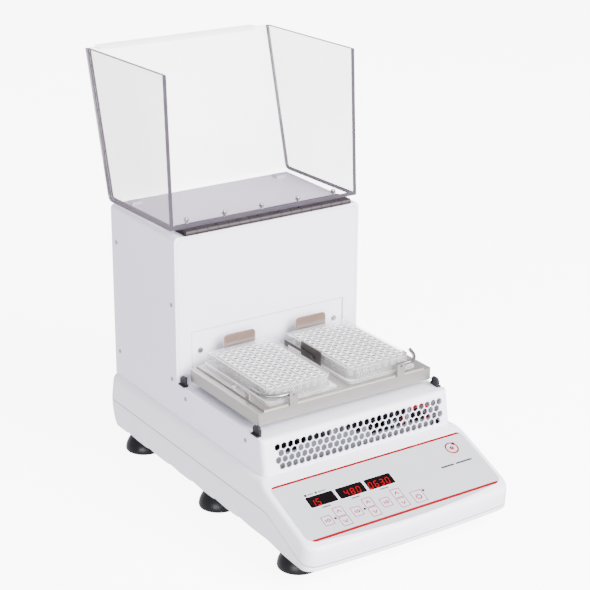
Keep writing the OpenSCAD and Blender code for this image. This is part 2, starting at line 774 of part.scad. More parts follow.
module circulation_rotor() {
    color([0.16, 0.16, 0.17]) translate([fan_x, circ_y + fan_t, fan_z]) rotate([90, 0, 0])
        fan_rotor(fan_size, fan_t);
}

module exhaust_fan() {
    color([0.12, 0.12, 0.13]) translate([0, exhaust_y - 25, rear_fan_z]) rotate([-90, 0, 0])
        fan_frame(rear_fan_size, 25);
}

module exhaust_rotor() {
    color([0.16, 0.16, 0.17]) translate([0, exhaust_y - 25, rear_fan_z]) rotate([-90, 0, 0])
        fan_rotor(rear_fan_size, 25);
}

// Fins of a heat sink: a plate with a comb, seen from above
module fins(w, base, depth, n) {
    translate([-w / 2, 0]) square([w, base]);
    for (k = [0:n - 1]) translate([-w / 2 + k * (w - 1.6) / (n - 1), 0]) square([1.6, depth]);
}

pump_y = circ_y + fan_t + 22;

module heat_pump() {
    color("white") for (x = [-26, 26]) translate([x - 20, pump_y, fan_z - 20]) cube([40, 4, 40]);
}

module heat_sinks() {
    color("lightgray") {
        translate([0, pump_y - fit_gap, fan_z - 36]) mirror([0, 1, 0]) linear_extrude(72)
            fins(130, 5, 18, 14);
        translate([0, pump_y + 4 + fit_gap, fan_z - 36]) linear_extrude(120) fins(150, 6, 30, 20);
    }
}

// ---------------------------------------------------------------- drive

// Upright shaft with an eccentric crank pin on top
module eccentric_shaft() {
    cylinder(r = shaft_r, h = shaft_top_z - plate_z - plate_t - 2);
    translate([0, 0, pillar_top_z + fit_gap - plate_z - plate_t - 1]) cylinder(r = 8, h = 3);
    translate([orbit_r, 0, shaft_top_z - plate_z - plate_t - 4])
        cylinder(r = pin_top_r, h = carriage_z + carriage_t - shaft_top_z + 2);
}

shaft_z = plate_z + plate_t + 1;

module crank_shaft() {
    color("lightsteelblue") translate([crank_xy[0], crank_xy[1], 0]) {
        translate([0, 0, shaft_z]) eccentric_shaft();
        difference() {
            translate([0, 0, pulley_z]) cylinder(r = crank_pulley_r, h = pulley_h, $fn = 96);
            translate([0, 0, pulley_z + 1.4]) rotate_extrude($fn = 96)
                translate([crank_pulley_r - 1.4, 0]) square([5, pulley_h - 2.8]);
            for (a = [0:60:300]) rotate(a) translate([20, 0, pulley_z - 1]) cylinder(r = 6.5, h = 12);
        }
    }
}

// Sector weight opposite the crank pin, clamped to the shaft
module counterweight() {
    color("dimgray") translate([crank_xy[0], crank_xy[1], 86]) linear_extrude(16) difference() {
        intersection() {
            circle(34, $fn = 96);
            translate([-40, -22]) square([46, 44]);
        }
        circle(shaft_r + 0.02);
    }
}

module idler(p) {
    color("lightsteelblue") translate([p[0], p[1], shaft_z]) eccentric_shaft();
}

module bearing_pillars() {
    color("slategray") for (p = concat([crank_xy], idler_xy)) translate([p[0], p[1], plate_z + plate_t])
        difference() {
            union() {
                cylinder(r = pillar_r + 6, h = 5);
                cylinder(r = pillar_r, h = pillar_top_z - plate_z - plate_t);
            }
            translate([0, 0, 0.9]) cylinder(r = shaft_r + fit_gap, h = 100);
        }
}

module motor() {
    color("gray") translate([motor_xy[0], motor_xy[1], plate_z + plate_t]) difference() {
        union() {
            cylinder(r = 21, h = 32);
            translate([0, 0, 32]) cylinder(r = 9, h = 3);
            translate([-24, -24, 0]) cube([48, 48, 3]);
        }
        translate([0, 0, 10]) cylinder(r = 3 + fit_gap, h = 40);
    }
}

module motor_pulley() {
    color("silver") translate([motor_xy[0], motor_xy[1], 0]) {
        translate([0, 0, plate_z + plate_t + 12]) cylinder(r = 3, h = pulley_z - plate_z - plate_t);
        translate([0, 0, pulley_z]) difference() {
            cylinder(r = motor_pulley_r, h = pulley_h);
            translate([0, 0, 1.4]) rotate_extrude() translate([motor_pulley_r - 1.4, 0])
                square([5, pulley_h - 2.8]);
        }
    }
}

// Outline of a belt round both pulleys, as seen from above with the crank pulley at the origin
function belt_outline(r1, r2) = let (d = norm(motor_xy - crank_xy), tilt = asin((r1 - r2) / d))
    concat(arc([0, 0], r1, 90 - tilt, 270 + tilt, 44), arc([d, 0], r2, tilt - 90, 90 - tilt, 20));

module drive_belt() {
    r1 = crank_pulley_r - 1.4 + fit_gap;
    r2 = motor_pulley_r - 1.4 + fit_gap;
    v = motor_xy - crank_xy;
    color([0.1, 0.1, 0.1]) translate([crank_xy[0], crank_xy[1], pulley_z + 2])
        rotate(atan2(v[1], v[0])) linear_extrude(pulley_h - 4) difference() {
            polygon(belt_outline(r1 + belt_t, r2 + belt_t));
            polygon(belt_outline(r1 + 0.1, r2 + 0.1));
        }
}

module carriage() {
    color("lightgray") difference() {
        translate([0, 0, carriage_z]) linear_extrude(carriage_t - fit_gap)
            rounded_rect(-102, -80, 102, 34, 8);
        for (p = concat([crank_xy], idler_xy)) translate([p[0] + orbit_r, p[1], carriage_z - 1])
            cylinder(r = pin_top_r + fit_gap, h = carriage_t + 2);
        both_sides() translate([tray_screw[0], tray_screw[1], carriage_z - 1])
            cylinder(r = 1.2, h = carriage_t + 2);
    }
}

// ---------------------------------------------------------------- tray and plate clips

module tray_plan(i) {
    rounded_rect(-tray_w / 2 + i, tray_front + i, tray_w / 2 - i, tray_rear - i, max(1.6 - i, 0.6));
}

module tray() {
    skin = 1.5;
    color([0.78, 0.76, 0.73]) difference() {
        union() {
            translate([0, 0, tray_z - tray_h]) linear_extrude(tray_h) tray_plan(0);
            // Front posts, bent up from the front side
            for (x = post_x) block([x - post_w / 2, tray_front, tray_z - 2],
                                   [x + post_w / 2, tray_front + skin, post_top_z]);
        }
        translate([0, 0, tray_z - tray_h - 1]) linear_extrude(tray_h + 1 - tray_t) tray_plan(skin);
        both_sides() translate([tray_screw[0], tray_screw[1], 0]) cylinder(r = 1.7, h = 200);
        // Holes for the ends of the corner springs
        for (x = post_x) translate([x, tray_front - 1, clip_z]) rotate([-90, 0, 0])
            cylinder(r = 1.6, h = 4);
    }
}

// Thin plate that locates the microplates, with two tabs bent up behind them
module holder_plate() {
    color([0.74, 0.71, 0.69]) difference() {
        union() {
            block([-101, -90.3, tray_z + 0.02], [101, 43, tray_z + holder_t]);
            for (x = rear_tab_x) along_y(43, 44.4) intersection() {
                rounded_rect(x - rear_tab_w / 2, tray_z - 20, x + rear_tab_w / 2, rear_tab_top, 4);
                translate([-200, tray_z]) square([400, 100]);
            }
            for (x = rear_tab_x) block([x - rear_tab_w / 2, 42, tray_z + 0.02],
                                       [x + rear_tab_w / 2, 44.4, tray_z + holder_t]);
            both_sides() block([-100.2, -61, tray_z + 0.02], [-99, -54, side_tab_top]);
        }
        both_sides() translate([tray_screw[0], tray_screw[1], 0]) cylinder(r = 1.7, h = 200);
    }
}

module tray_screws() {
    color("silver") both_sides()
        translate([tray_screw[0], tray_screw[1], tray_z + holder_t + fit_gap]) {
            cylinder(r = 2.6, h = 1.1);
            translate([0, 0, -10]) cylinder(r = 1.1, h = 10.1);
        }
}

// Corner spring: a round bar from a pin in the post, round the corner of the microplate
module corner_spring(x0, bend_r, side_l, tilt) {
    corner_x = mp_x + mp_w / 2 + clip_r + 0.2;
    color([0.6, 0.59, 0.58]) translate([0, clip_y, clip_z]) {
        translate([x0, 0, 0]) rotate([90, 0, 0]) cylinder(r = 1, h = 4);
        rotate([tilt, 0, 0]) {
            translate([x0 - clip_r, 0, 0]) rotate([0, 90, 0])
                cylinder(r = clip_r, h = corner_x - bend_r - x0 + clip_r, $fn = 24);
            translate([corner_x - bend_r, bend_r, 0]) rotate([0, 0, -90])
                rotate_extrude(angle = 90) translate([bend_r, 0]) circle(clip_r, $fn = 24);
            translate([corner_x, bend_r, 0]) rotate([-90, 0, 0])
                cylinder(r = clip_r, h = side_l, $fn = 24);
        }
    }
}

module clip_spring_left() { mirror([1, 0, 0]) corner_spring(-post_x[0] + 0.4, 20, 10, 0); }

module clip_spring_right() { corner_spring(post_x[1] + 0.4, 12, 5, 22); }

// Leaf spring in the gap between the microplates: an arm on a foot, and an upright paddle
module gap_spring() {
    z0 = tray_z + holder_t + fit_gap;
    color([0.4, 0.38, 0.37]) {
        block([2.4, 24, z0], [3.4, 31, z0 + 11.6]);
        block([2.4, -24.8, z0 + 8.2], [3.4, 25, z0 + 11.6]);
        block([2.4, -24.8, z0 + 8.2], [5.3, -22, z0 + 11.6]);
        block([4.5, -36.4, z0 + 4.2], [5.3, 1.3, 165.6]);
    }
}

// Standard microplate: a base flange, and the block of 8 by 12 wells above it
module microplate(x) {
    step = 2.6;
    w = mp_w / 2 - step;
    d = mp_d / 2 - step;
    color([0.93, 0.93, 0.95, 0.7]) translate([x, mp_y, mp_z]) difference() {
        union() {
            linear_extrude(2.4) rounded_rect(-mp_w / 2, -mp_d / 2, mp_w / 2, mp_d / 2, 3.2);
            linear_extrude(mp_h) difference() {
                rounded_rect(-w, -d, w, d, 3);
                // Corners cut back where the corner springs pass
                for (s = [-1, 1]) translate([s * w, -d]) rotate(45) square([12, 12], center = true);
            }
        }
        translate([0, 0, -1]) linear_extrude(2.6) rounded_rect(-w + 2, -d + 2, w - 2, d - 2, 1.5);
        for (i = [-3.5:3.5], j = [-5.5:5.5]) translate([i * well_pitch, j * well_pitch, mp_h - well_d])
            cylinder(r = well_r, h = well_d + 1);
    }
}

// ---------------------------------------------------------------- rear connections and wiring

module power_inlet() {
    color([0.08, 0.08, 0.09]) difference() {
        union() {
            block([-85.9, tower_rear_y - 18, 104.1], [-58.7, tower_rear_y + fit_gap, 123.9]);
            block([-88, tower_rear_y + 0.02, 101.5], [-56.6, tower_rear_y + 2, 126.5]);
        }
        block([-83.8, tower_rear_y - 14, 107], [-60.8, tower_rear_y + 5, 121]);
    }
    // Fuse drawer, and the housing of the rocker switch
    color([0.08, 0.08, 0.09]) {
        block([-80, tower_rear_y + 2, 122.4], [-64.6, tower_rear_y + 2.6, 125.6]);
        difference() {
            union() {
                block([-45.9, tower_rear_y - 16, 104.1], [-32.7, tower_rear_y + fit_gap, 123.9]);
                block([-47.4, tower_rear_y + 0.02, 102.5], [-31.2, tower_rear_y + 1.6, 125.5]);
            }
            block([-44.6, tower_rear_y - 14, 104.9], [-34, tower_rear_y + 5, 123.1]);
        }
    }
    color("silver") for (q = [[-79, 112], [-65.6, 112], [-72.3, 116]])
        block([q[0] - 1, tower_rear_y - 15, q[1] - 2], [q[0] + 1, tower_rear_y - 2, q[1] + 2]);
}

switch_x = -39.3;
switch_z = 114;

module power_switch() {
    color([0.1, 0.1, 0.11]) translate([switch_x, tower_rear_y - 2, switch_z]) intersection() {
        rotate([0, 90, 0]) cylinder(r = 8.6, h = 10, center = true);
        rotate([8, 0, 0]) block([-5, -6, -8.4], [5, 3.2, 8.4]);
    }
}

wire_r = 1.2;
wire_sides = 8;
// Route of the motor lead: up behind the baffle, over its top edge, and back down
wire_path = [[84, -92, 62], [90, -97, 72], [95, -101, 84], [97, -102.5, 96], [96.5, -103, 104],
             [93, -104.2, 109], [88, -105, 111], [82, -104.6, 110.2], [76, -103.2, 108.6],
             [70, -102.6, 105.5], [66, -101.5, 101], [66, -98, 92], [69, -94, 80], [73, -91, 66]];

function unit(v) = v / norm(v);
function tangent(p, i) = unit(p[min(i + 1, len(p) - 1)] - p[max(i - 1, 0)]);
function ring(p, i, r) = let (t = tangent(p, i), a = unit(cross(t, [0.3, 0.9, 0.2])), b = cross(t, a))
    [for (k = [0:wire_sides - 1]) p[i] + r * (a * cos(k * 360 / wire_sides)
                                              + b * sin(k * 360 / wire_sides))];

module wire(p, r) {
    n = len(p);
    s = wire_sides;
    polyhedron([for (i = [0:n - 1]) each ring(p, i, r)],
        concat([[for (k = [0:s - 1]) k]],
               [for (i = [0:n - 2], k = [0:s - 1])
                   [i * s + k, (i + 1) * s + k, (i + 1) * s + (k + 1) % s, i * s + (k + 1) % s]],
               [[for (k = [s - 1:-1:0]) (n - 1) * s + k]]));
}

module wiring() { color("firebrick") wire(wire_path, wire_r); }

// ---------------------------------------------------------------- the part

in_frame() lower_shell();
in_frame() upper_shell();
in_frame() chassis_plate();
in_frame() feet();
in_frame() base_screws();
in_frame() power_supply();
in_frame() control_overlay();
in_frame() display_modules();
in_frame() control_board();
in_frame() key(KEYS[0]);  // key_temp_onoff
in_frame() key(KEYS[1]);  // key_temp_up
in_frame() key(KEYS[2]);  // key_temp_down
in_frame() key(KEYS[3]);  // key_speed_onoff
in_frame() key(KEYS[4]);  // key_speed_up
in_frame() key(KEYS[5]);  // key_speed_down
in_frame() key(KEYS[6]);  // key_time_onoff
in_frame() key(KEYS[7]);  // key_time_up
in_frame() key(KEYS[8]);  // key_time_down
in_frame() key(KEYS[9]);  // key_power
in_frame() cabinet_wrap();
in_frame() front_housing();
in_frame() chamber_floor();
in_frame() lid_bumpers();
in_frame() tower_front();
in_frame() duct_plate();
in_frame() tower_back();
in_frame() cabinet_screws();
in_frame() hinge_base_leaf();
in_frame() hinge_pin();
in_frame() hinge_lid_leaf();
in_frame() lid_sheet();
in_frame() lid_side_left();
in_frame() lid_side_right();
in_frame() lid_screws();
in_frame() circulation_fan();
in_frame() circulation_rotor();
in_frame() heat_pump();
in_frame() heat_sinks();
in_frame() exhaust_fan();
in_frame() exhaust_rotor();
in_frame() motor();
in_frame() motor_pulley();
in_frame() drive_belt();
in_frame() crank_shaft();
in_frame() counterweight();
in_frame() idler(idler_xy[0]);  // idler_left
in_frame() idler(idler_xy[1]);  // idler_right
in_frame() bearing_pillars();
in_frame() carriage();
in_frame() tray();
in_frame() holder_plate();
in_frame() tray_screws();
in_frame() clip_spring_left();
in_frame() clip_spring_right();
in_frame() gap_spring();
in_frame() microplate(-mp_x);  // microplate_left
in_frame() microplate(mp_x);  // microplate_right
in_frame() power_inlet();
in_frame() power_switch();
in_frame() wiring();
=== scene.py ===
"""Looks of an incubating orbital shaker: moulded base, sheet-metal cabinet, clear lid, plate tray."""
import math
import bmesh
import bpy
from mathutils import Matrix, Vector


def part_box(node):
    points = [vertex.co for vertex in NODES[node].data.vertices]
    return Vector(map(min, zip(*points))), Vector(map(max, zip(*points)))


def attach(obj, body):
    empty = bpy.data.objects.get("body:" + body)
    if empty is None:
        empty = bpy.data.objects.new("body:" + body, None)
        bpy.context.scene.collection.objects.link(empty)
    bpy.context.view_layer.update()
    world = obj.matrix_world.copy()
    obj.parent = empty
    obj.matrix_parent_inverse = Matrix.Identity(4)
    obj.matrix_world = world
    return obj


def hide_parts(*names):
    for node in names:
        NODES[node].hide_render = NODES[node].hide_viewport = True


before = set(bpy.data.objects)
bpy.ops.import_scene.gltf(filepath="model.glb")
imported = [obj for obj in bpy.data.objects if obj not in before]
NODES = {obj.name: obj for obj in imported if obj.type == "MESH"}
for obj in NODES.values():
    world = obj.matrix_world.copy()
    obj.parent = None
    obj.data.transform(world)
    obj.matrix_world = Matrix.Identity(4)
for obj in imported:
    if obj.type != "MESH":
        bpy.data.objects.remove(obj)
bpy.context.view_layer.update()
MM = 0.001

# The middle of the base along Y, from the tower's rear face; lengths below are in mm from there
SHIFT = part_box("cabinet_wrap")[1][1] / MM - 197.0


def at(x, y, z):
    """A point given in mm from the middle of the base, in the frame's metres."""
    return Vector((x * MM, (y + SHIFT) * MM, z * MM))


# Console plane
SLOPE = math.radians(21.65)
PANEL_Y, PANEL_Z = -165.35, 67.25


def on_panel(u, v, n=0.0):
    """A point of the console: u across, v up the slope, n out of it, in mm."""
    return at(u, PANEL_Y + v * math.cos(SLOPE) - n * math.sin(SLOPE),
              PANEL_Z + v * math.sin(SLOPE) + n * math.cos(SLOPE))


# ---------------------------------------------------------------- mesh helpers

def new_obj(name, verts, faces, mats, body, smooth=None, mat_ids=None):
    me = bpy.data.meshes.new(name)
    me.from_pydata([tuple(v) for v in verts], [], faces)
    bm = bmesh.new()
    bm.from_mesh(me)
    bmesh.ops.remove_doubles(bm, verts=bm.verts, dist=1e-7)
    bmesh.ops.recalc_face_normals(bm, faces=bm.faces)
    bm.to_mesh(me)
    bm.free()
    ob = bpy.data.objects.new(name, me)
    bpy.context.scene.collection.objects.link(ob)
    for m in (mats if isinstance(mats, (list, tuple)) else [mats]):
        me.materials.append(m)
    if mat_ids:
        for p, i in zip(me.polygons, mat_ids):
            p.material_index = i
    if smooth is not None:
        smooth_by_angle(ob, smooth)
    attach(ob, body)
    return ob


def smooth_by_angle(ob, angle=35):
    """Smooth shading, with edges sharper than the angle kept sharp."""
    me = ob.data
    for p in me.polygons:
        p.use_smooth = True
    bm = bmesh.new()
    bm.from_mesh(me)
    lim = math.radians(angle)
    for e in bm.edges:
        e.smooth = not (len(e.link_faces) != 2 or e.calc_face_angle(0) > lim)
    bm.to_mesh(me)
    bm.free()


def bevel(ob, width):
    """Rounds the sharp edges of a part, by a width in mm."""
    m = ob.modifiers.new("bevel", "BEVEL")
    m.width = width * MM
    m.segments = 2
    m.limit_method = "ANGLE"
    m.angle_limit = math.radians(40)
    m.harden_normals = True
    m.use_clamp_overlap = True


def prism(name, outline, z0, z1, mats, body, place):
    """Extrudes a closed outline of (a, b) from z0 to z1, and places each point with place(a, b, z)."""
    n = len(outline)
    verts = [place(a, b, z0) for a, b in outline] + [place(a, b, z1) for a, b in outline]
    faces = [list(range(n))[::-1], [n + i for i in range(n)]]
    faces += [[i, (i + 1) % n, n + (i + 1) % n, n + i] for i in range(n)]
    return new_obj(name, verts, faces, mats, body)


def arc_pts(cx, cy, r, a0, a1, n):
    return [(cx + r * math.cos(math.radians(a0 + (a1 - a0) * i / n)),
             cy + r * math.sin(math.radians(a0 + (a1 - a0) * i / n))) for i in range(n + 1)]


def round_rect(x0, y0, x1, y1, r, n=6):
    return (arc_pts(x1 - r, y0 + r, r, -90, 0, n) + arc_pts(x1 - r, y1 - r, r, 0, 90, n)
            + arc_pts(x0 + r, y1 - r, r, 90, 180, n) + arc_pts(x0 + r, y0 + r, r, 180, 270, n))


def lathe(name, profile, place, mats, body, n=48, smooth=35):
    """Turns a profile of (radius, height) about an axis; place(x, y, h) puts each point."""
    verts, faces = [], []
    m = len(profile)
    for i in range(n):
        a = 2 * math.pi * i / n
        for r, h in profile:
            verts.append(place(r * math.cos(a), r * math.sin(a), h))
    for i in range(n):
        j = (i + 1) % n
        for k in range(m - 1):
            faces.append([i * m + k, j * m + k, j * m + k + 1, i * m + k + 1])
    return new_obj(name, verts, faces, mats, body, smooth=smooth)


# ---------------------------------------------------------------- materials

class Mat:
    """A node material: a shader, with colour, roughness and bump varied by noise over the surface."""

    def __init__(self, name, color, rough=0.5, metal=0.0, coat=0.0, coat_rough=0.1, spec=0.5, ior=1.45):
        self.mat = bpy.data.materials.new(name)
        self.mat.use_nodes = True
        self.nt = self.mat.node_tree
        self.nodes, self.links = self.nt.nodes, self.nt.links
        self.bsdf = next(n for n in self.nodes if n.type == "BSDF_PRINCIPLED")
        self.bsdf.inputs["Base Color"].default_value = (*color, 1)
        self.bsdf.inputs["Roughness"].default_value = rough
        self.bsdf.inputs["Metallic"].default_value = metal
        self.bsdf.inputs["Coat Weight"].default_value = coat
        self.bsdf.inputs["Coat Roughness"].default_value = coat_rough
        self.bsdf.inputs["Specular IOR Level"].default_value = spec
        self.bsdf.inputs["IOR"].default_value = ior
        self.coord = self.nodes.new("ShaderNodeTexCoord")
        self.bump_in = None

    def noise(self, scale, detail=3.0, rough=0.55, stretch=None):
        t = self.nodes.new("ShaderNodeTexNoise")
        t.inputs["Scale"].default_value = scale
        t.inputs["Detail"].default_value = detail
        t.inputs["Roughness"].default_value = rough
        src = self.coord.outputs["Object"]
        if stretch:
            m = self.nodes.new("ShaderNodeMapping")
            m.inputs["Scale"].default_value = stretch
            self.links.new(src, m.inputs["Vector"])
            src = m.outputs["Vector"]
        self.links.new(src, t.inputs["Vector"])
        return t.outputs["Fac"]

    def spread(self, fac, lo, hi, a=0.3, b=0.7):
        r = self.nodes.new("ShaderNodeMapRange")
        r.inputs["From Min"].default_value = a
        r.inputs["From Max"].default_value = b
        r.inputs["To Min"].default_value = lo
        r.inputs["To Max"].default_value = hi
        self.links.new(fac, r.inputs["Value"])
        return r.outputs["Result"]

    def tint(self, fac, c0, c1, a=0.3, b=0.7):
        r = self.nodes.new("ShaderNodeValToRGB")
        r.color_ramp.elements[0].position = a
        r.color_ramp.elements[1].position = b
        r.color_ramp.elements[0].color = (*c0, 1)
        r.color_ramp.elements[1].color = (*c1, 1)
        self.links.new(fac, r.inputs["Fac"])
        self.links.new(r.outputs["Color"], self.bsdf.inputs["Base Color"])
        return r.outputs["Color"]

    def axes(self, output="Object"):
        """X, Y and Z of the object's own coordinates or normal."""
        sep = self.nodes.new("ShaderNodeSeparateXYZ")
        self.links.new(self.coord.outputs[output], sep.inputs["Vector"])
        return sep.outputs

    def mix_colors(self, fac, first, second):
        """Mixes two colours by a factor; each is a colour or another node's output."""
        mix = self.nodes.new("ShaderNodeMix")
        mix.data_type = "RGBA"
        self.links.new(fac, mix.inputs[0])
        for k, c in ((6, first), (7, second)):
            if isinstance(c, tuple):
                mix.inputs[k].default_value = (*c, 1)
            else:
                self.links.new(c, mix.inputs[k])
        return mix.outputs[2]

    def set_color(self, color):
        self.links.new(color, self.bsdf.inputs["Base Color"])

    def roughness(self, fac, lo, hi, a=0.3, b=0.7):
        self.links.new(self.spread(fac, lo, hi, a, b), self.bsdf.inputs["Roughness"])

    def bump(self, fac, strength, dist_mm):
        b = self.nodes.new("ShaderNodeBump")
        b.inputs["Strength"].default_value = strength
        b.inputs["Distance"].default_value = dist_mm * MM
        self.links.new(fac, b.inputs["Height"])
        if self.bump_in is not None:
            self.links.new(self.bump_in, b.inputs["Normal"])
        self.bump_in = b.outputs["Normal"]
        self.links.new(self.bump_in, self.bsdf.inputs["Normal"])


def shade(c, k):
    return tuple(max(0.0, min(1.0, v * k)) for v in c)


def moulded(name, color, rough, grain=900, bump_mm=0.02, coat=0.0, var=0.02, strength=0.12, spec=0.5):
    """Moulded plastic: very fine texture, with a slow drift of tone."""
    m = Mat(name, color, rough, coat=coat, spec=spec)
    m.tint(m.noise(9, 3), shade(color, 1 - var), shade(color, 1 + var))
    g = m.noise(grain, 2)
    m.roughness(m.noise(30, 3), rough - 0.04, rough + 0.05)
    m.bump(g, strength, bump_mm)
    return m.mat


# Stretch of the noise that draws brushed grain along X
GRAIN_X = (4.0, 260.0, 260.0)


def painted(name, color, rough=0.46):
    """Powder-coated sheet: faint orange peel."""
    m = Mat(name, color, rough, coat=0.15, coat_rough=0.3)
    m.tint(m.noise(6, 2), shade(color, 0.985), shade(color, 1.01))
    m.roughness(m.noise(40, 3), rough - 0.05, rough + 0.06)
    m.bump(m.noise(420, 2), 0.18, 0.03)
    m.bump(m.noise(90, 2), 0.05, 0.06)
    return m.mat


def brushed(name, color, rough, amount=0.08):
    """Brushed metal, with its grain along X."""
    m = Mat(name, color, rough, metal=1.0)
    g = m.noise(6, 6, 0.7, stretch=GRAIN_X)
    m.tint(g, shade(color, 1 - amount), shade(color, 1 + amount))
    m.roughness(g, rough - 0.07, rough + 0.09)
    m.bump(g, 0.15, 0.02)
    return m.mat


def metal(name, color, rough, var=0.06):
    m = Mat(name, color, rough, metal=1.0)
    g = m.noise(160, 4)
    m.tint(g, shade(color, 1 - var), shade(color, 1 + var))
    m.roughness(m.noise(60, 3), rough - 0.05, rough + 0.08)
    m.bump(g, 0.05, 0.01)
    return m.mat


def clear_plastic(name, color, alpha, rough=0.04, var=0.02):
    """Thin clear plastic, seen through by transparency, with gloss on top."""
    m = Mat(name, color, rough, ior=1.58)
    m.bsdf.inputs["Alpha"].default_value = alpha
    m.tint(m.noise(12, 2), shade(color, 1 - var), shade(color, 1 + var))
    m.roughness(m.noise(25, 3), rough, rough + 0.05)
    m.bump(m.noise(14, 2), 0.03, 0.05)
    return m.mat


M_WHITE = painted("white_paint", (0.87, 0.85, 0.96))
M_UPPER = moulded("upper_plastic", (0.89, 0.87, 0.94), 0.34, coat=0.2)
M_GROOVE = moulded("parting_groove", (0.16, 0.155, 0.18), 0.6, grain=300, spec=0.1)
M_LOWER = moulded("lower_plastic", (0.86, 0.84, 0.92), 0.42)
M_RUBBER = moulded("black_rubber", (0.006, 0.006, 0.008), 0.3, grain=500, var=0.15, strength=0.2, spec=0.25)


def bumper_rubber():
    """Black rubber on the rim; the pads on top of the tower are of clear rubber."""
    m = Mat("bumper_rubber", (0.016, 0.016, 0.02), 0.5, spec=0.25)
    dark = m.tint(m.noise(9, 3), (0.013, 0.013, 0.017), (0.02, 0.02, 0.024))
    above_rim = m.spread(m.axes()["Z"], 0.0, 1.0, 0.2, 0.21)
    m.set_color(m.mix_colors(above_rim, dark, (0.62, 0.60, 0.68)))
    m.bump(m.noise(500, 2), 0.25, 0.02)
    return m.mat


M_BUMPER = bumper_rubber()
M_OVERLAY = moulded("overlay_film", (0.46, 0.465, 0.51), 0.4, grain=1500, bump_mm=0.01)
M_KEY = moulded("key_film", (0.49, 0.49, 0.53), 0.4, grain=1500, bump_mm=0.01)
M_RED = moulded("red_print", (0.21, 0.001, 0.005), 0.5, grain=900, spec=0.08)
M_PINK = moulded("pink_print", (0.24, 0.008, 0.024), 0.5, grain=900, spec=0.1)
M_GREY_PRINT = moulded("grey_print", (0.03, 0.03, 0.033), 0.5, grain=900, spec=0.15)
M_WHITE_PRINT = moulded("white_print", (0.82, 0.82, 0.84), 0.45, grain=900)
M_WINDOW = moulded("display_tint", (0.003, 0.0015, 0.002), 0.3, grain=300, strength=0.02, spec=0.06)
M_TRAY = brushed("tray_steel", (0.43, 0.415, 0.385), 0.42)


def holder_steel():
    """Brushed steel, warmer on the upper part of the tabs that stand behind the plates."""
    m = Mat("holder_steel", (0.42, 0.39, 0.36), 0.4, metal=1.0)
    g = m.noise(6, 6, 0.7, stretch=GRAIN_X)
    ramp = m.tint(g, (0.38, 0.355, 0.335), (0.45, 0.42, 0.39))
    top = max(c[2] for c in NODES["holder_plate"].bound_box)
    tab_top = m.spread(m.axes()["Z"], 0.0, 1.0, top - 11 * MM, top - 8 * MM)
    m.set_color(m.mix_colors(tab_top, ramp, (0.34, 0.235, 0.195)))
    m.roughness(g, 0.34, 0.48)
    m.bump(g, 0.15, 0.02)
    return m.mat


M_HOLDER = holder_steel()
M_HINGE = brushed("hinge_steel", (0.070, 0.060, 0.066), 0.56, amount=0.04)
M_SPRING = metal("spring_steel", (0.27, 0.265, 0.26), 0.24)
M_LEAF = metal("leaf_steel", (0.10, 0.095, 0.09), 0.36)
M_SCREW = metal("screw_steel", (0.68, 0.68, 0.70), 0.25)
M_ZINC = metal("zinc_sheet", (0.62, 0.63, 0.65), 0.45)
M_ALU = metal("bare_aluminium", (0.72, 0.73, 0.75), 0.38)
M_MOTOR = metal("motor_steel", (0.42, 0.43, 0.46), 0.4)
M_BLACK = moulded("black_plastic", (0.02, 0.02, 0.023), 0.45, grain=600, var=0.1, strength=0.2)
M_BOARD = moulded("circuit_board", (0.02, 0.12, 0.06), 0.4, grain=300, var=0.2)
M_WIRE = moulded("wire_red", (0.20, 0.004, 0.006), 0.45, grain=400, spec=0.2)
M_CHASSIS = moulded("galvanised_sheet", (0.11, 0.11, 0.13), 0.5, grain=200, var=0.08, spec=0.3)
M_SIDE_SCREW = metal("side_screw", (0.34, 0.34, 0.36), 0.35)
M_CERAMIC = moulded("white_ceramic", (0.80, 0.80, 0.77), 0.6, grain=300)
M_PLATE = clear_plastic("plate_skirt", (0.86, 0.86, 0.86), 0.13, rough=0.06)
M_DECK = clear_plastic("plate_deck", (0.84, 0.84, 0.84), 0.22, rough=0.1)
M_WELL = clear_plastic("well_wall", (0.66, 0.64, 0.64), 0.24, rough=0.1)
# Near white and denser than the rest of the plate: painted highlight on the well rims and on the skirt's flat
# faces
M_RIM_HIGHLIGHT = clear_plastic("well_rim", (0.97, 0.96, 0.97), 0.58, rough=0.12)


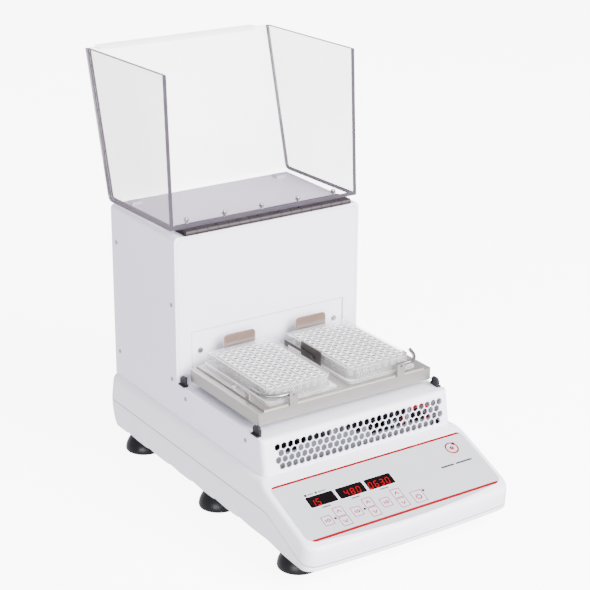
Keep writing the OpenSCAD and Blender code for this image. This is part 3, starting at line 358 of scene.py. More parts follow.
def lid_plastic(name, thin_axis, thin_min, panel_alpha, deep_alpha):
    """Clear acrylic sheet: broad faces seen through; cut edges painted dark as shade, with those facing up
    painted lighter as a highlight, all picked from the face's own direction.
    """
    m = Mat(name, (0.4, 0.36, 0.44), 0.06, ior=1.49)
    m.roughness(m.noise(20, 3), 0.04, 0.1)
    m.bump(m.noise(10, 2), 0.03, 0.05)
    normal, pos = m.axes("Normal"), m.axes()

    def math_node(op, a, b=None):
        n = m.nodes.new("ShaderNodeMath")
        n.operation = op
        for k, v in enumerate((a, b)):
            if isinstance(v, (int, float)):
                n.inputs[k].default_value = v
            elif v is not None:
                m.links.new(v, n.inputs[k])
        return n.outputs[0]

    ax = [math_node("ABSOLUTE", normal[k]) for k in range(3)]
    if thin_axis == 0:
        edge = math_node("LESS_THAN", ax[0], 0.5)
        upper = math_node("MULTIPLY", edge, math_node("GREATER_THAN", normal["Z"], 0.7))
        faint = math_node("MULTIPLY", edge, math_node("GREATER_THAN", normal["Y"], 0.5))
        deep = math_node("MULTIPLY", ax[0], 0.0)
    else:
        upper = math_node("MULTIPLY", math_node("GREATER_THAN", ax[2], 0.99),
                          math_node("GREATER_THAN", pos["Z"], thin_min))
        low = math_node("LESS_THAN", pos["Z"], thin_min)
        ends = math_node("MULTIPLY", math_node("GREATER_THAN", ax[0], 0.9),
                         math_node("GREATER_THAN", math_node("ABSOLUTE", pos["X"]), 0.112))
        edge = math_node("MULTIPLY", math_node("GREATER_THAN", ax[1], 0.992), low)
        edge = math_node("MAXIMUM", math_node("MAXIMUM", edge, upper), ends)
        faint = math_node("MAXIMUM", upper, math_node("GREATER_THAN", normal["X"], 0.9))
        deep = math_node("GREATER_THAN", ax[2], 0.9)
    grain = m.spread(m.noise(12, 2), 0.9, 1.1)
    alpha = math_node("ADD", panel_alpha, math_node("MULTIPLY", deep, deep_alpha - panel_alpha))
    alpha = math_node("MULTIPLY", alpha, grain)
    mix = m.nodes.new("ShaderNodeMix")
    m.links.new(edge, mix.inputs[0])
    m.links.new(alpha, mix.inputs[2])
    m.links.new(math_node("SUBTRACT", 1.0, math_node("MULTIPLY", faint, 0.6)), mix.inputs[3])
    m.links.new(mix.outputs[0], m.bsdf.inputs["Alpha"])
    panel = m.nodes.new("ShaderNodeValToRGB")
    panel.color_ramp.elements[0].color = (0.42, 0.345, 0.42, 1)
    panel.color_ramp.elements[1].color = (0.50, 0.425, 0.50, 1)
    m.links.new(m.noise(5, 2), panel.inputs["Fac"])
    # Painted shade on the cut edges, lighter where they face up as a painted highlight
    rim = m.mix_colors(upper, (0.06, 0.05, 0.068), (0.15, 0.135, 0.16))
    m.set_color(m.mix_colors(edge, panel.outputs["Color"], rim))
    return m.mat


def glow(name, color, strength):
    m = Mat(name, color, 0.4)
    m.tint(m.noise(700, 2), shade(color, 0.25), shade(color, 0.3))
    m.bsdf.inputs["Specular IOR Level"].default_value = 0.02
    m.bsdf.inputs["Emission Color"].default_value = (*color, 1)
    m.bsdf.inputs["Emission Strength"].default_value = strength
    return m.mat


M_DIGIT = glow("digit_glow", (0.62, 0.0, 0.006), 0.75)
M_LED = glow("led_green", (0.0, 0.24, 0.004), 0.8)
M_LED_OFF = moulded("led_dark", (0.012, 0.012, 0.015), 0.3, grain=300, spec=0.2)

sheet_box = NODES["lid_sheet"].bound_box
M_LID_SHEET = lid_plastic("clear_lid_sheet", 1, max(c[2] for c in sheet_box) - 0.02, 0.23, 0.13)
M_LID_SIDE = lid_plastic("clear_lid_side", 0, 0, 0.27, 0.27)

CAD_MATS = {
    "chassis_plate": M_CHASSIS, "base_screws": M_SCREW, "power_supply": M_ZINC, "control_board": M_BOARD,
    "cabinet_wrap": M_WHITE, "front_housing": M_WHITE, "chamber_floor": M_ZINC, "lid_bumpers": M_BUMPER,
    "tower_front": M_WHITE, "duct_plate": M_WHITE, "tower_back": M_WHITE, "cabinet_screws": M_SIDE_SCREW,
    "hinge_base_leaf": M_HINGE, "hinge_pin": M_HINGE, "hinge_lid_leaf": M_HINGE, "lid_screws": M_SCREW,
    "circulation_fan": M_BLACK, "circulation_rotor": M_BLACK, "heat_pump": M_CERAMIC,
    "heat_sinks": M_ALU, "exhaust_fan": M_BLACK, "exhaust_rotor": M_BLACK, "motor": M_MOTOR,
    "motor_pulley": M_ALU, "drive_belt": M_BLACK, "crank_shaft": M_MOTOR, "counterweight": M_MOTOR,
    "idler_left": M_MOTOR, "idler_right": M_MOTOR, "bearing_pillars": M_ALU, "carriage": M_ALU,
    "tray": M_TRAY, "holder_plate": M_HOLDER, "tray_screws": M_SCREW, "gap_spring": M_LEAF,
    "power_inlet": M_BLACK, "power_switch": M_BLACK, "wiring": M_WIRE,
    "lower_shell": M_LOWER, "upper_shell": M_UPPER, "feet": M_RUBBER, "control_overlay": M_OVERLAY,
    "display_modules": M_WINDOW, "lid_sheet": M_LID_SHEET, "lid_side_left": M_LID_SIDE,
    "lid_side_right": M_LID_SIDE,
    "clip_spring_left": M_SPRING, "clip_spring_right": M_SPRING, "microplate_left": M_PLATE,
    "microplate_right": M_PLATE,
}
for name, ob in NODES.items():
    mat = CAD_MATS.get(name, M_KEY)
    ob.data.materials.clear()
    ob.data.materials.append(mat)

for name, w in (("cabinet_wrap", 0.35), ("tower_front", 0.3), ("duct_plate", 0.3), ("tray", 0.5),
                ("holder_plate", 0.25), ("lid_bumpers", 0.4), ("hinge_base_leaf", 0.15),
                ("hinge_lid_leaf", 0.15), ("power_inlet", 0.3)):
    bevel(NODES[name], w)

# ---------------------------------------------------------------- moulded base

# Half width, front at the middle of its bow, and rear
BASE_W, BASE_F, BASE_R = 127.75, -214.0, 203.0
DECK, BOTTOM = 86.0, 23.2
# Where the parting line starts to fall, its height before that and half the gap along it
KINK_Y, PART_Z, PART_GAP = -135.6, 58.2, 0.34
# How far the front bows forward in its middle
BOW = 3.5
# Foot of each sawtooth flute along Y
FLUTES = [169.5 - 47.7 * k for k in range(6)]


def deck_height(y):
    """Height of the base's top: flat, then down the console."""
    z = PANEL_Z + (y - PANEL_Y) * math.tan(SLOPE)
    a, b = DECK, z
    h = 1.2
    k = max(0.0, h - abs(a - b)) / h
    return min(a, b) - k * k * h * 0.25


def parting(y):
    """Height of the parting line between the two shells."""
    fall, ease = 0.434, 6
    z = PART_Z if y > KINK_Y else PART_Z - (KINK_Y - y) * fall
    if abs(y - KINK_Y) < ease:
        z = PART_Z - fall * (ease - (y - KINK_Y)) ** 2 / (4 * ease)
    if y < -189:
        t = max(0.0, (y + 214) / 25)
        z = 28.5 + 6.5 * t ** 1.6
    return z


def plan_points():
    """Outline of the base: (x, y, outward normal x, y, weight), from the front's middle round to it again."""
    rc, rr = 15.0, 18.0
    w = BASE_W
    pts = []
    for i in range(15):
        x = (w - rc) * i / 14
        y = BASE_F + BOW * (x / w) ** 2
        pts.append((x, y, 2 * BOW * x / w / w, -1.0))
    y0 = BASE_F + BOW * ((w - rc) / w) ** 2 + 0.3
    for i in range(1, 13):
        a = math.radians(-90 + 90 * i / 12)
        pts.append((w - rc + rc * math.cos(a), y0 + rc + rc * math.sin(a), math.cos(a), math.sin(a)))
    ys = [-192, -186, -178, -170, -160, -150, -142, -138, -135.6, -133, -128, -124, -120.5, -118.1,
          -116, -110]
    y = -104.0
    while y < BASE_R - rr - 1:
        ys.append(y)
        y += 2.0
    pts += [(w, v, 1.0, 0.0) for v in ys]
    for i in range(0, 11):
        a = math.radians(90 * i / 10)
        pts.append((w - rr + rr * math.cos(a), BASE_R - rr + rr * math.sin(a), math.cos(a), math.sin(a)))
    for i in range(1, 9):
        pts.append(((w - rr) * (1 - i / 8), BASE_R, 0.0, 1.0))
    half = []
    for x, y, nx, ny in pts:
        l = math.hypot(nx, ny)
        half.append((x, y, nx / l, ny / l))
    return half + [(-x, y, -nx, ny) for x, y, nx, ny in half[-2:0:-1]]


PLAN = plan_points()


def blend(a, b, t):
    t = max(0.0, min(1.0, t))
    return a + (b - a) * t * t * (3 - 2 * t)


def shoulder(p):
    """Fillet of the upper shell's top edge at an outline point: horizontal and vertical radius, and lean."""
    x, y, nx, ny = p
    k = (y + 132) / 20
    side = (blend(4.5, 8.2, k), blend(5.0, 8.0, k), blend(0.6, 2.2, k))
    end = (3.5, 6.2, 0.3) if ny < 0 else (4.6, 5.2, 1.3)
    k = ny * ny
    return tuple(s * (1 - k) + e * k for s, e in zip(side, end))


def front_tuck(p, z):
    """The front face bulges a little; this is how far it is set back at a height."""
    k = max(0.0, -p[3]) ** 2
    return k * 2.3 * max(0.0, min(1.0, (43 - z) / 13)) ** 1.5


def ring_point(p, inset, z):
    return at(p[0] - p[2] * inset, p[1] - p[3] * inset, z)


def upper_rings():
    rings = []
    for s, extra in ((0.0, 0.4), (0.015, 0.0), (0.25, 0), (0.5, 0), (0.75, 0), (1.0, 0)):
        ring = []
        for p in PLAN:
            rh, rv, lean = shoulder(p)
            zp = parting(p[1]) + PART_GAP
            zs = deck_height(p[1]) - rv
            z = zp + (zs - zp) * s
            ring.append((p, lean * s ** 1.4 + extra + front_tuck(p, z), z))
        rings.append(ring)
    for th in (15, 30, 45, 60, 75, 90):
        a = math.radians(th)
        ring = []
        for p in PLAN:
            rh, rv, lean = shoulder(p)
            o = lean + rh * (1 - math.cos(a)) + front_tuck(p, 43)
            y = p[1] - p[3] * o
            ring.append((p, o, deck_height(y) - rv * (1 - math.sin(a))))
        rings.append(ring)
    return rings


def overlay_outline(grow, n=8):
    """Outline of the overlay on the console: straight top and sides, bowed lower edge."""
    w, top, low = 120.6 + grow, 37.8 + grow, -46.8 - grow
    right = arc_pts(w - 6 - grow, top - 6 - grow, 6 + grow, 90, 0, n)
    right += arc_pts(w - 10 - grow, -29.7, 10 + grow, 0, -82, n)
    pts = list(right)
    u_end, bow_r = 109.5, 836.0
    for i in range(31):
        a = u_end - 2 * u_end * i / 30
        pts.append((a, low + a * a / (2 * bow_r)))
    return pts + [(-a, b) for a, b in reversed(right)]


def finish_shell(bm, name, mat, angle, node):
    """Turns a shell's bmesh into the piece that stands for a node of the base."""
    bmesh.ops.remove_doubles(bm, verts=bm.verts, dist=1e-6)
    bmesh.ops.recalc_face_normals(bm, faces=bm.faces)
    me = bpy.data.meshes.new(name)
    bm.to_mesh(me)
    bm.free()
    me.materials.append(mat)
    ob = bpy.data.objects.new(name, me)
    bpy.context.scene.collection.objects.link(ob)
    smooth_by_angle(ob, angle)
    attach(ob, "base")
    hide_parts(node)


def build_upper_shell():
    rings = upper_rings()
    n = len(PLAN)
    bm = bmesh.new()
    vr = [[bm.verts.new(ring_point(*q)) for q in ring] for ring in rings]
    for a, b in zip(vr[:-1], vr[1:]):
        for i in range(n):
            j = (i + 1) % n
            bm.faces.new((a[i], a[j], b[j], b[i]))
    top = vr[-1]
    deck_i = [i for i, p in enumerate(PLAN) if p[1] >= -118.2 and (abs(p[0]) > BASE_W - 0.01 or p[1] > 0)]
    # flat top round the opening under the cabinet
    inner = {}
    for i in deck_i:
        c = top[i].co
        x = max(-111.5 * MM, min(111.5 * MM, c.x))
        y = max(-109.6, min(190.5, c.y / MM - SHIFT))
        inner[i] = bm.verts.new((x, (y + SHIFT) * MM, DECK * MM))
    for i in deck_i:
        j = (i + 1) % n
        if j in inner:
            bm.faces.new((top[i], top[j], inner[j], inner[i]))
    rgt, lft = min(deck_i), max(deck_i)
    bm.faces.new((top[lft], top[rgt], inner[rgt], inner[lft]))
    # console: from the ring to a raised bead round the overlay, then down to its seat
    loop_out = [top[i % n] for i in range(lft, rgt + n + 1)]
    beads = ((1.5, 0.34), (0.9, 0.42), (0.42, 0.3), (0.16, 0.0), (0.12, -1.0), (-3.0, -1.0))
    prev = None
    first = None
    for grow, h in beads:
        pts = overlay_outline(grow)
        cur = [bm.verts.new(on_panel(min(max(a, -123.0), 123.0), b, h)) for a, b in pts]
        if prev:
            m = len(cur)
            for i in range(m):
                j = (i + 1) % m
                bm.faces.new((prev[i], prev[j], cur[j], cur[i]))
        else:
            first = cur
        prev = cur
    edges = [bm.edges.get((loop_out[i], loop_out[i + 1])) or bm.edges.new((loop_out[i], loop_out[i + 1]))
             for i in range(len(loop_out) - 1)]
    e = bm.edges.get((loop_out[-1], loop_out[0])) or bm.edges.new((loop_out[-1], loop_out[0]))
    edges.append(e)
    m = len(first)
    edges += [bm.edges.get((first[i], first[(i + 1) % m])) for i in range(m)]
    bmesh.ops.triangle_fill(bm, use_beauty=True, use_dissolve=False, edges=edges)
    # inner lip at the parting line, and inside wall
    bot = vr[0]
    lips = []
    for inset, dz in ((1.3, 0.0), (1.3, 2.0), (2.8, 2.0), (2.8, 12.0)):
        lip = []
        for p in PLAN:
            zp = parting(p[1])
            lip.append(bm.verts.new(ring_point(p, inset + front_tuck(p, zp), zp + PART_GAP + dz)))
        lips.append(lip)
    seq = [bot] + lips
    for a, b in zip(seq[:-1], seq[1:]):
        for i in range(n):
            j = (i + 1) % n
            bm.faces.new((a[j], a[i], b[i], b[j]))
    finish_shell(bm, "base_upper_shell", M_UPPER, 28, "upper_shell")


def flute(y, z):
    """Sawtooth flutes low on the sides: how far the wall is set in at a point."""
    d = 0.0
    depth = max(0.0, min(1.0, (44.5 - z) / 18)) ** 1.1 * 1.5
    for c in FLUTES:
        c = c - (44 - z) * 0.17
        s = c - y
        if 0.0 < s < 2.4:
            d = max(d, depth * s / 2.4)
        elif 2.4 <= s < 27.0:
            d = max(d, depth * (1 - (s - 2.4) / 24.6))
    return d


# How far the side curves in, by the drop below the parting line
SIDE_TUCK = ((0, 0), (8, 0.15), (14, 0.6), (20, 1.2), (25, 1.9), (29, 2.7), (32, 3.6), (34, 4.6), (36, 6.0))


def tuck(p, z):
    """How far the lower shell curves in under itself at a height."""
    drop = max(0.0, parting(p[1]) - PART_GAP - z)
    side = SIDE_TUCK[-1][1]
    for (a, va), (b, vb) in zip(SIDE_TUCK[:-1], SIDE_TUCK[1:]):
        if drop <= b:
            side = va + (vb - va) * (drop - a) / (b - a)
            break
    rear = max(0.0, p[3]) ** 2
    foot = 1.6 * max(0.0, 1 - (z - BOTTOM) / 2.2) ** 2
    return p[2] ** 2 * side + rear * 9.0 * (drop / 35.0) ** 2.2 + foot


def build_lower_shell():
    steps = (0.06, 0.13, 0.23, 0.32, 0.40, 0.48, 0.56, 0.64, 0.72, 0.79, 0.85, 0.90, 0.94, 0.97, 0.99, 1.0)
    n = len(PLAN)
    bm = bmesh.new()

    def ring(f, inset, dz=0.0):
        out = []
        for p in PLAN:
            zp = parting(p[1]) - PART_GAP
            z = zp - f * (zp - BOTTOM) + dz
            o = inset + front_tuck(p, parting(p[1])) + tuck(p, z)
            o += flute(p[1], z) * abs(p[2]) if abs(p[2]) > 0.99 else 0.0
            out.append(bm.verts.new(ring_point(p, o, z)))
        return out

    seq = [ring(0.0, 2.8, 4.0), ring(0.0, 1.5, 4.0), ring(0.0, 1.5), ring(0.0, 0.4), ring(0.012, 0.0)]
    seq += [ring(f, 0.0) for f in steps]
    seq.append(ring(1.0, 4.0, -0.2))
    for a, b in zip(seq[:-1], seq[1:]):
        for i in range(n):
            j = (i + 1) % n
            bm.faces.new((a[i], a[j], b[j], b[i]))
    bm.faces.new(seq[-1])
    finish_shell(bm, "base_lower_shell", M_LOWER, 24, "lower_shell")


def build_parting_band():
    """Shadow line in the groove between the two shells."""
    verts, faces = [], []
    n = len(PLAN)
    for inset, dz in ((0.22, -PART_GAP), (0.22, PART_GAP), (1.1, PART_GAP), (1.1, -PART_GAP)):
        verts += [ring_point(p, inset + front_tuck(p, parting(p[1])), parting(p[1]) + dz) for p in PLAN]
    for k in range(4):
        q = (k + 1) % 4
        faces += [[k * n + i, k * n + (i + 1) % n, q * n + (i + 1) % n, q * n + i] for i in range(n)]
    new_obj("base_parting_line", verts, faces, M_GROOVE, "base")


build_upper_shell()
build_lower_shell()
build_parting_band()

# ---------------------------------------------------------------- feet

# Half section of a foot: radius and height
FOOT = [(0.01, 4.2), (9, 4.0), (13.5, 3.0), (16.5, 0.6), (17.2, 0.05), (20.8, 0.05), (21.7, 0.5), (21.95, 1.6),
        (21.8, 3.6), (21.3, 5.8), (20.5, 8.2), (19.4, 10.6), (17.9, 13.2), (16.2, 15.6), (14.0, 18.0),
        (11.8, 20.0), (11.0, 21.4), (10.9, 22.8), (4.0, 22.85), (3.4, 22.8), (3.4, 12.4), (0.01, 12.4)]
for k, (fx, fy) in enumerate([(sx * 100.6, y) for sx in (-1, 1) for y in (-153.5, 0.3, 164.5)]):
    ob = lathe(f"foot_{k + 1}", FOOT, lambda a, b, h, fx=fx, fy=fy: at(fx + a, fy + b, h), M_RUBBER, "base",
               n=56, smooth=40)
    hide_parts("feet")

# ---------------------------------------------------------------- painted shadow lines round the duct plate, and hinge knuckles with painted shade in their gaps

# Dark strips along the top and sides of the duct plate: painted shadow lines at its edges
M_SEAM_SHADOW = moulded("seam_shadow", (0.30, 0.29, 0.33), 0.6, grain=300)
DUCT_TOP, DUCT_X, FRONT_Y = 178.8, 98.2, 57.0
for name, (x0, z0, x1, z1) in (("seam_shadow_top", (-DUCT_X, DUCT_TOP - 0.35, DUCT_X, DUCT_TOP + 0.1)),
                               ("seam_shadow_left", (-DUCT_X - 0.2, 126.0, -DUCT_X + 0.2, DUCT_TOP - 0.35)),
                               ("seam_shadow_right", (DUCT_X - 0.2, 126.0, DUCT_X + 0.2, DUCT_TOP - 0.35))):
    prism(name, [(x0, z0), (x1, z0), (x1, z1), (x0, z1)], FRONT_Y - 0.04, FRONT_Y - 0.01, M_SEAM_SHADOW, "base",
          lambda a, b, h: at(a, h, b))
# Dark rings round the hinge barrel between its knuckles: painted shade in the gaps
M_KNUCKLE_GAP_SHADE = moulded("knuckle_gap", (0.03, 0.026, 0.026), 0.7, spec=0.1)
pin_lo, pin_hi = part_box("hinge_pin")
pin_y, pin_z = (pin_lo[1] + pin_hi[1]) / 2, (pin_lo[2] + pin_hi[2]) / 2
for k in range(1, 16):
    kx = (-104.5 + 209 * k / 16) * MM
    lathe(f"knuckle_gap_{k}", [(3.0, -0.4), (3.3, -0.4), (3.3, 0.4), (3.0, 0.4)],
          lambda a, b, h, kx=kx: Vector((kx + h * MM, pin_y + a * MM, pin_z + b * MM)), M_KNUCKLE_GAP_SHADE, "base",
          n=32)

# ---------------------------------------------------------------- microplates

PLATE_W, PLATE_D = 85.48, 127.76
# How far the wall stands in from the skirt, and the cut of its front corners
WALL_IN, CUT = 2.6, 8.49


def plate_ring(inset, cut):
    """Outline of a plate at an inset, with its two front corners cut back or rounded."""
    x, y = PLATE_W / 2 - inset, PLATE_D / 2 - inset
    r = max(3.2 - inset, 0.8)
    out = []
    for sx, sy, a in ((1, -1, -90), (1, 1, 0), (-1, 1, 90), (-1, -1, 180)):
        if cut and sy < 0:
            ends = ((sx * (x - cut), -y), (sx * x, -y + cut))
            a0, a1 = ends if sx > 0 else ends[::-1]
            out += [(a0[0] + (a1[0] - a0[0]) * k / 6, a0[1] + (a1[1] - a0[1]) * k / 6) for k in range(7)]
        else:
            out += arc_pts(sx * (x - r), sy * (y - r), r, a, a + 90, 6)
    return out


def build_microplate(node):
    lo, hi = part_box(node)
    cx, cy, z0 = (lo[0] + hi[0]) / 2, (lo[1] + hi[1]) / 2, lo[2]
    place = lambda a, b, h: Vector((cx + a * MM, cy + b * MM, z0 + h * MM))
    rings = [(0.0, 0, 0.05), (0.0, 0, 2.1), (0.3, 0, 2.4), (WALL_IN - 0.3, CUT, 2.4), (WALL_IN, CUT, 2.8),
             (WALL_IN + 0.3, CUT, 13.9), (WALL_IN + 0.5, CUT, 14.3), (WALL_IN + 1.1, CUT - 0.5, 14.3),
             (WALL_IN + 1.3, CUT - 0.6, 13.9), (WALL_IN + 1.3, CUT - 0.6, 2.2), (1.2, 0, 1.5), (1.2, 0, 0.05)]
    verts, faces, ids = [], [], []
    outlines = [(plate_ring(i, c), h) for i, c, h in rings]
    n = len(outlines[0][0])
    for pts, h in outlines:
        verts += [place(a, b, h) for a, b in pts]
    m = len(rings)
    # Flat faces at rings 2, 6 and 11 take the rim material, painted light as a highlight
    for k in range(m):
        q = (k + 1) % m
        for i in range(n):
            j = (i + 1) % n
            faces.append([k * n + i, k * n + j, q * n + j, q * n + i])
            ids.append(1 if k in (2, 6, 11) else 0)
    parts = [new_obj(f"{node}_skirt", verts, faces, [M_PLATE, M_RIM_HIGHLIGHT], "carriage", smooth=40,
                     mat_ids=ids)]
    # deck with a round hole over each well, well tubes, and their raised rims
    seg = 20
    dv, df, wv, wf, rv, rf = [], [], [], [], [], []

    def slab(pts, h0, h1):
        b = len(dv)
        c = len(pts)
        dv.extend([place(x, y, h0) for x, y in pts] + [place(x, y, h1) for x, y in pts])
        df.append([b + k for k in range(c)][::-1])
        df.append([b + c + k for k in range(c)])
        df.extend([[b + k, b + (k + 1) % c, b + c + (k + 1) % c, b + c + k] for k in range(c)])

    def turned(vs, fs, x, y, profile, closed):
        b = len(vs)
        c = len(profile)
        for k in range(seg):
            a = 2 * math.pi * k / seg
            vs.extend([place(x + r * math.cos(a), y + r * math.sin(a), h) for r, h in profile])
        for k in range(seg):
            j = (k + 1) % seg
            for q in range(c if closed else c - 1):
                w = (q + 1) % c
                fs.append([b + k * c + q, b + j * c + q, b + j * c + w, b + k * c + w])

    for i in range(8):
        for j in range(12):
            x, y = (i - 3.5) * 9, (j - 5.5) * 9
            b = len(dv)
            for h in (12.5, 13.3):
                for k in range(seg):
                    a = 2 * math.pi * k / seg
                    ca, sa = math.cos(a), math.sin(a)
                    q = 4.5 / max(abs(ca), abs(sa))
                    dv.append(place(x + 3.5 * ca, y + 3.5 * sa, h))
                    dv.append(place(x + q * ca, y + q * sa, h))
            for k in range(seg):
                j2 = (k + 1) % seg
                t = b + 2 * seg
                df.append([t + 2 * k, t + 2 * k + 1, t + 2 * j2 + 1, t + 2 * j2])
                df.append([b + 2 * k + 1, b + 2 * k, b + 2 * j2, b + 2 * j2 + 1])
            turned(wv, wf, x, y, [(0.01, 2.9), (3.2, 2.9), (3.4, 3.2), (3.45, 13.1), (3.1, 13.1), (3.0, 3.7),
                                  (0.01, 3.6)], False)
            turned(rv, rf, x, y, [(3.1, 13.2), (3.15, 14.1), (3.3, 14.3), (3.65, 14.3), (3.85, 14.1),
                                  (3.95, 13.35)], True)
    slab([(-37.5, -54), (37.5, -54), (31.6, -59.9), (-31.6, -59.9)][::-1], 12.5, 13.3)
    slab([(-38.6, 54), (38.6, 54), (38.6, 59.9), (-38.6, 59.9)], 12.5, 13.3)
    slab([(36, -54), (37.5, -54), (38.6, -52.9), (38.6, 54), (36, 54)], 12.5, 13.3)
    slab([(-36, 54), (-38.6, 54), (-38.6, -52.9), (-37.5, -54), (-36, -54)], 12.5, 13.3)
    parts.append(new_obj(f"{node}_deck", dv, df, M_DECK, "carriage", smooth=30))
    parts.append(new_obj(f"{node}_wells", wv, wf, M_WELL, "carriage", smooth=40))
    parts.append(new_obj(f"{node}_rims", rv, rf, M_RIM_HIGHLIGHT, "carriage", smooth=50))
    for ob in parts:
        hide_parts(node)


for node in ("microplate_left", "microplate_right"):
    build_microplate(node)

# ---------------------------------------------------------------- console

def stroke(pts, width, closed=False):
    """Outline of a mitred line through points, as one polygon (open) or two loops."""
    pts = [Vector(p) for p in pts]
    n = len(pts)
    left, right = [], []
    for i in range(n):
        a = pts[i - 1] if (i > 0 or closed) else pts[i]
        b = pts[(i + 1) % n] if (i < n - 1 or closed) else pts[i]
        d0 = (pts[i] - a).normalized() if (pts[i] - a).length > 0 else (b - pts[i]).normalized()
        d1 = (b - pts[i]).normalized() if (b - pts[i]).length > 0 else d0
        nrm = Vector((-(d0 + d1).y, (d0 + d1).x)).normalized()
        k = 1 / max(0.35, nrm.dot(Vector((-d0.y, d0.x))))
        left.append(pts[i] + nrm * width / 2 * k)
        right.append(pts[i] - nrm * width / 2 * k)
    return left, right


def ink(name, strokes, mat, body="base", n0=0.0, n1=0.035):
    """Printed lines on the console: each stroke is (points, width, closed)."""
    verts, faces = [], []
    for pts, width, closed in strokes:
        l, r = stroke(pts, width, closed)
        m = len(l)
        base = len(verts)
        for h in (n0, n1):
            verts += [on_panel(q.x, q.y, h) for q in l]
            verts += [on_panel(q.x, q.y, h) for q in r]
        L0, R0, L1, R1 = base, base + m, base + 2 * m, base + 3 * m
        for i in range(m if closed else m - 1):
            j = (i + 1) % m
            faces += [[L1 + i, L1 + j, R1 + j, R1 + i], [L0 + j, L0 + i, R0 + i, R0 + j],
                      [L0 + i, L0 + j, L1 + j, L1 + i], [R0 + j, R0 + i, R1 + i, R1 + j]]
        if not closed:
            faces += [[L0, L1, R1, R0], [L0 + m - 1, R0 + m - 1, R1 + m - 1, L1 + m - 1]]
    return new_obj(name, verts, faces, mat, body)


ink("print_line_top", [([(-119.3, 36.9), (119.3, 36.9)], 3.2, False)], M_RED)
ink("print_line_low", [([(-115.6, -38.2), (115.6, -38.2)], 3.0, False)], M_RED)

WINDOWS = [-77.2, -41.7, -6.2]
for k, c in enumerate(WINDOWS):
    pts = round_rect(c - 16.3, -0.7, c + 16.3, 13.5, 1.7, 5)
    prism(f"window_film_{k + 1}", pts, 0.0, 0.03, M_WINDOW, "base", on_panel)
    edge = round_rect(c - 16.6, -1.0, c + 16.6, 13.8, 2.0, 5)
    ink(f"window_frame_{k + 1}", [(edge, 0.4, True)], M_WHITE_PRINT)

SEG = {"0": "abcdef", "1": "bc", "3": "abcdg", "4": "bcfg", "5": "acdfg", "6": "acdefg", "8": "abcdefg"}


def digit(ch, cu, cv, h=8.4, w=4.6, t=0.85):
    """Seven-segment figure as strokes, leaning to the right."""
    lean = 0.13
    q = lambda a, b: (cu + a + lean * b, cv + b)
    x, y, g = w / 2 - t / 2, h / 2 - t / 2, 0.35
    segs = {"a": ((-x + g, y), (x - g, y)), "d": ((-x + g, -y), (x - g, -y)), "g": ((-x + g, 0), (x - g, 0)),
            "b": ((x, y - g), (x, g)), "c": ((x, -g), (x, -y + g)),
            "f": ((-x, y - g), (-x, g)), "e": ((-x, -g), (-x, -y + g))}
    return [([q(*segs[s][0]), q(*segs[s][1])], t, False) for s in SEG[ch]]


figures = []
for text, cs in (("15", (-88.6, -82.2)), ("480", (-48.2, -40.8, -33.6)), ("0630", (-18.6, -11.4, -4.4, 2.8))):
    for ch, c in zip(text, cs):
        figures += digit(ch, c, 4.7)
ink("display_figures", figures, M_DIGIT, n0=0.034, n1=0.055)

KEYS = {}
for grp, c in zip(("temp", "speed", "time"), WINDOWS):
    KEYS[f"key_{grp}_onoff"] = (c - 9.7, -20.2, 11.4, 12.0, "io")
    KEYS[f"key_{grp}_up"] = (c + 7.9, -13.8, 11.4, 12.0, "up")
    KEYS[f"key_{grp}_down"] = (c + 7.9, -26.6, 11.4, 12.0, "down")
KEYS["key_power"] = (21.7, -25.4, 14.2, 15.4, "power")
for name, (ku, kv, kw, kh, sym) in KEYS.items():
    hw, hh = kw / 2 - 0.35, kh / 2 - 0.35
    st = [(round_rect(ku - hw, kv - hh, ku + hw, kv + hh, 0.9, 3), 0.75, True)]
    if sym == "up":
        st.append(([(ku - 2.5, kv - 1.4), (ku, kv + 2.0), (ku + 2.5, kv - 1.4)], 1.2, False))
    elif sym == "down":
        st.append(([(ku - 2.5, kv + 1.4), (ku, kv - 2.0), (ku + 2.5, kv + 1.4)], 1.2, False))
    elif sym == "io":
        st.append(([(ku - 2.0, kv - 1.9), (ku - 2.0, kv + 1.9)], 1.2, False))
        st.append((arc_pts(ku + 1.4, kv, 1.5, 0, 345, 14), 1.1, True))
    else:
        st.append((arc_pts(ku, kv - 0.3, 2.9, 120, 420, 18), 1.4, False))
        st.append(([(ku, kv + 0.4), (ku, kv + 3.6)], 1.4, False))
    ink(f"{name}_print", st, M_PINK, body=f"{name}_body")

# Short neutral rules where the panel has its labels
marks = [([(c - 5.5, -3.4), (c + 4.5, -3.4)], 1.3, False) for c in WINDOWS]
marks += [([(a, 16.2), (b, 16.2)], 1.0, False) for a, b in ((-88.6, -81.6), (-76.2, -66.5))]
ink("label_rules", marks, M_GREY_PRINT)
# A plain sign for orbital motion, over two neutral rules
ink("orbit_sign", [(arc_pts(97, 20, 7.0, 0, 350, 32), 1.7, True),
                   (arc_pts(97, 20, 1.5, 0, 340, 14), 1.9, True),
                   (arc_pts(101.9, 24.9, 1.1, 0, 340, 14), 2.0, True)], M_RED)
ink("name_rules", [([(68.5, -0.5), (85, -0.5)], 2.0, False), ([(87.5, -0.5), (108.5, -0.5)], 2.0, False)],
    M_GREY_PRINT)

# Lamps on the console: across, up the slope, and whether lit
LAMPS = [(-90.9, 16.1, 0), (-78.3, 16.1, 1), (-77.6, -20.2, 0), (-42, -20.2, 0), (31, -20, 0)]
LAMP = [(0.01, 0.42), (0.6, 0.4), (1.15, 0.28), (1.45, 0.1), (1.5, 0.02), (1.5, -0.05), (0.01, -0.05)]
for k, (lu, lv, on) in enumerate(LAMPS):
    lathe(f"lamp_{k + 1}", LAMP, lambda a, b, h, lu=lu, lv=lv: on_panel(lu + a, lv + b, h),
          M_LED if on else M_LED_OFF, "base", n=24, smooth=50)

# ---------------------------------------------------------------- camera, light, floor

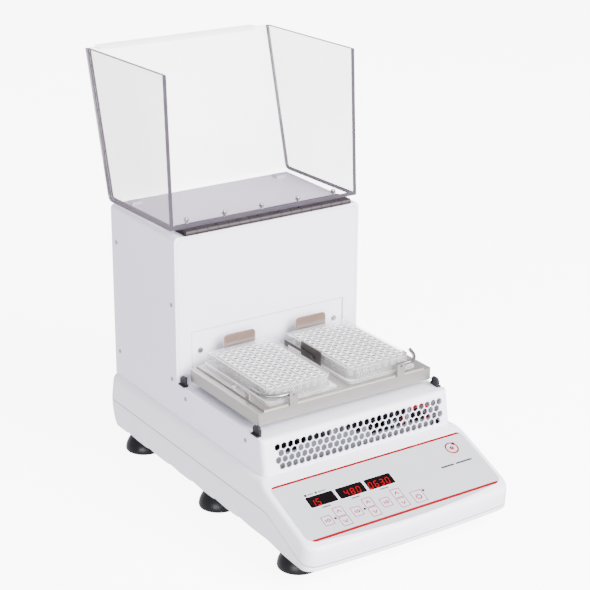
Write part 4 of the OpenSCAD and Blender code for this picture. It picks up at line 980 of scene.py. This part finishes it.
# Camera direction, and its focal length in widths of the picture
YAW, PITCH, ROLL = math.radians(33.69), math.radians(20.87), math.radians(0.377)
FOCAL = 1674.6 / 590
d = Vector((math.sin(YAW) * math.cos(PITCH), math.cos(YAW) * math.cos(PITCH), -math.sin(PITCH)))
r = Vector((math.cos(YAW), -math.sin(YAW), 0))
u = r.cross(d)
r2 = r * math.cos(ROLL) + u * math.sin(ROLL)
u2 = u * math.cos(ROLL) - r * math.sin(ROLL)
cam_data = bpy.data.cameras.new("camera")
cam_data.sensor_width = 36
cam_data.lens = FOCAL * cam_data.sensor_width
cam_data.clip_end = 50
cam = bpy.data.objects.new("camera", cam_data)
bpy.context.scene.collection.objects.link(cam)
rot = Matrix((r2, u2, -d)).transposed().to_4x4()
cam.matrix_world = Matrix.Translation(at(-921.7, -1375.9, 850.8)) @ rot
bpy.context.scene.camera = cam


def area_light(name, loc, target, size, power, color=(1, 1, 1)):
    data = bpy.data.lights.new(name, "AREA")
    data.shape = "RECTANGLE"
    data.size, data.size_y = size
    data.energy = power
    data.color = color
    ob = bpy.data.objects.new(name, data)
    bpy.context.scene.collection.objects.link(ob)
    ob.location = loc
    ob.rotation_euler = (Vector(target) - Vector(loc)).to_track_quat("-Z", "Y").to_euler()


world = bpy.data.worlds.new("studio")
world.use_nodes = True
bg = world.node_tree.nodes["Background"]
bg.inputs["Color"].default_value = (0.95, 0.94, 1.0, 1)
# The sky is stronger low down than overhead
sky, sky_links = world.node_tree.nodes, world.node_tree.links
sky_coord = sky.new("ShaderNodeTexCoord")
sky_sep = sky.new("ShaderNodeSeparateXYZ")
sky_range = sky.new("ShaderNodeMapRange")
for key, value in (("From Min", -0.35), ("From Max", 0.25), ("To Min", 1.9), ("To Max", 1.15)):
    sky_range.inputs[key].default_value = value
sky_links.new(sky_coord.outputs["Generated"], sky_sep.inputs["Vector"])
sky_links.new(sky_sep.outputs["Z"], sky_range.inputs["Value"])
sky_links.new(sky_range.outputs["Result"], bg.inputs["Strength"])
bpy.context.scene.world = world

floor_m = Mat("floor", (0.92, 0.92, 0.93), 0.6)
floor_m.tint(floor_m.noise(3, 2), (0.91, 0.91, 0.92), (0.93, 0.93, 0.94))
floor_m.bsdf.inputs["Emission Color"].default_value = (1.0, 1.0, 1.0, 1)
floor_m.bsdf.inputs["Emission Strength"].default_value = 7.0
floor = bpy.data.objects.new("floor", bpy.data.meshes.new("floor"))
floor.data.from_pydata([(-6, -6, 0), (6, -6, 0), (6, 6, 0), (-6, 6, 0)], [], [[0, 1, 2, 3]])
floor.data.materials.append(floor_m.mat)
bpy.context.scene.collection.objects.link(floor)
floor.visible_diffuse = False
floor.visible_glossy = False

area_light("key", (0.9, -2.3, 1.7), (0, 0, 0.15), (1.8, 1.8), 270, (1, 0.99, 0.995))
area_light("front", (0.1, -2.8, 0.9), (0, 0, 0.15), (2.0, 1.2), 80, (1, 0.99, 0.995))
area_light("left", (-1.7, -1.5, 0.35), (0, -0.1, 0.05), (1.4, 0.5), 42, (0.99, 0.98, 1))
area_light("back", (0.6, 2.4, 2.2), (0, 0.1, 0.2), (2.0, 1.4), 14)

bpy.context.view_layer.update()
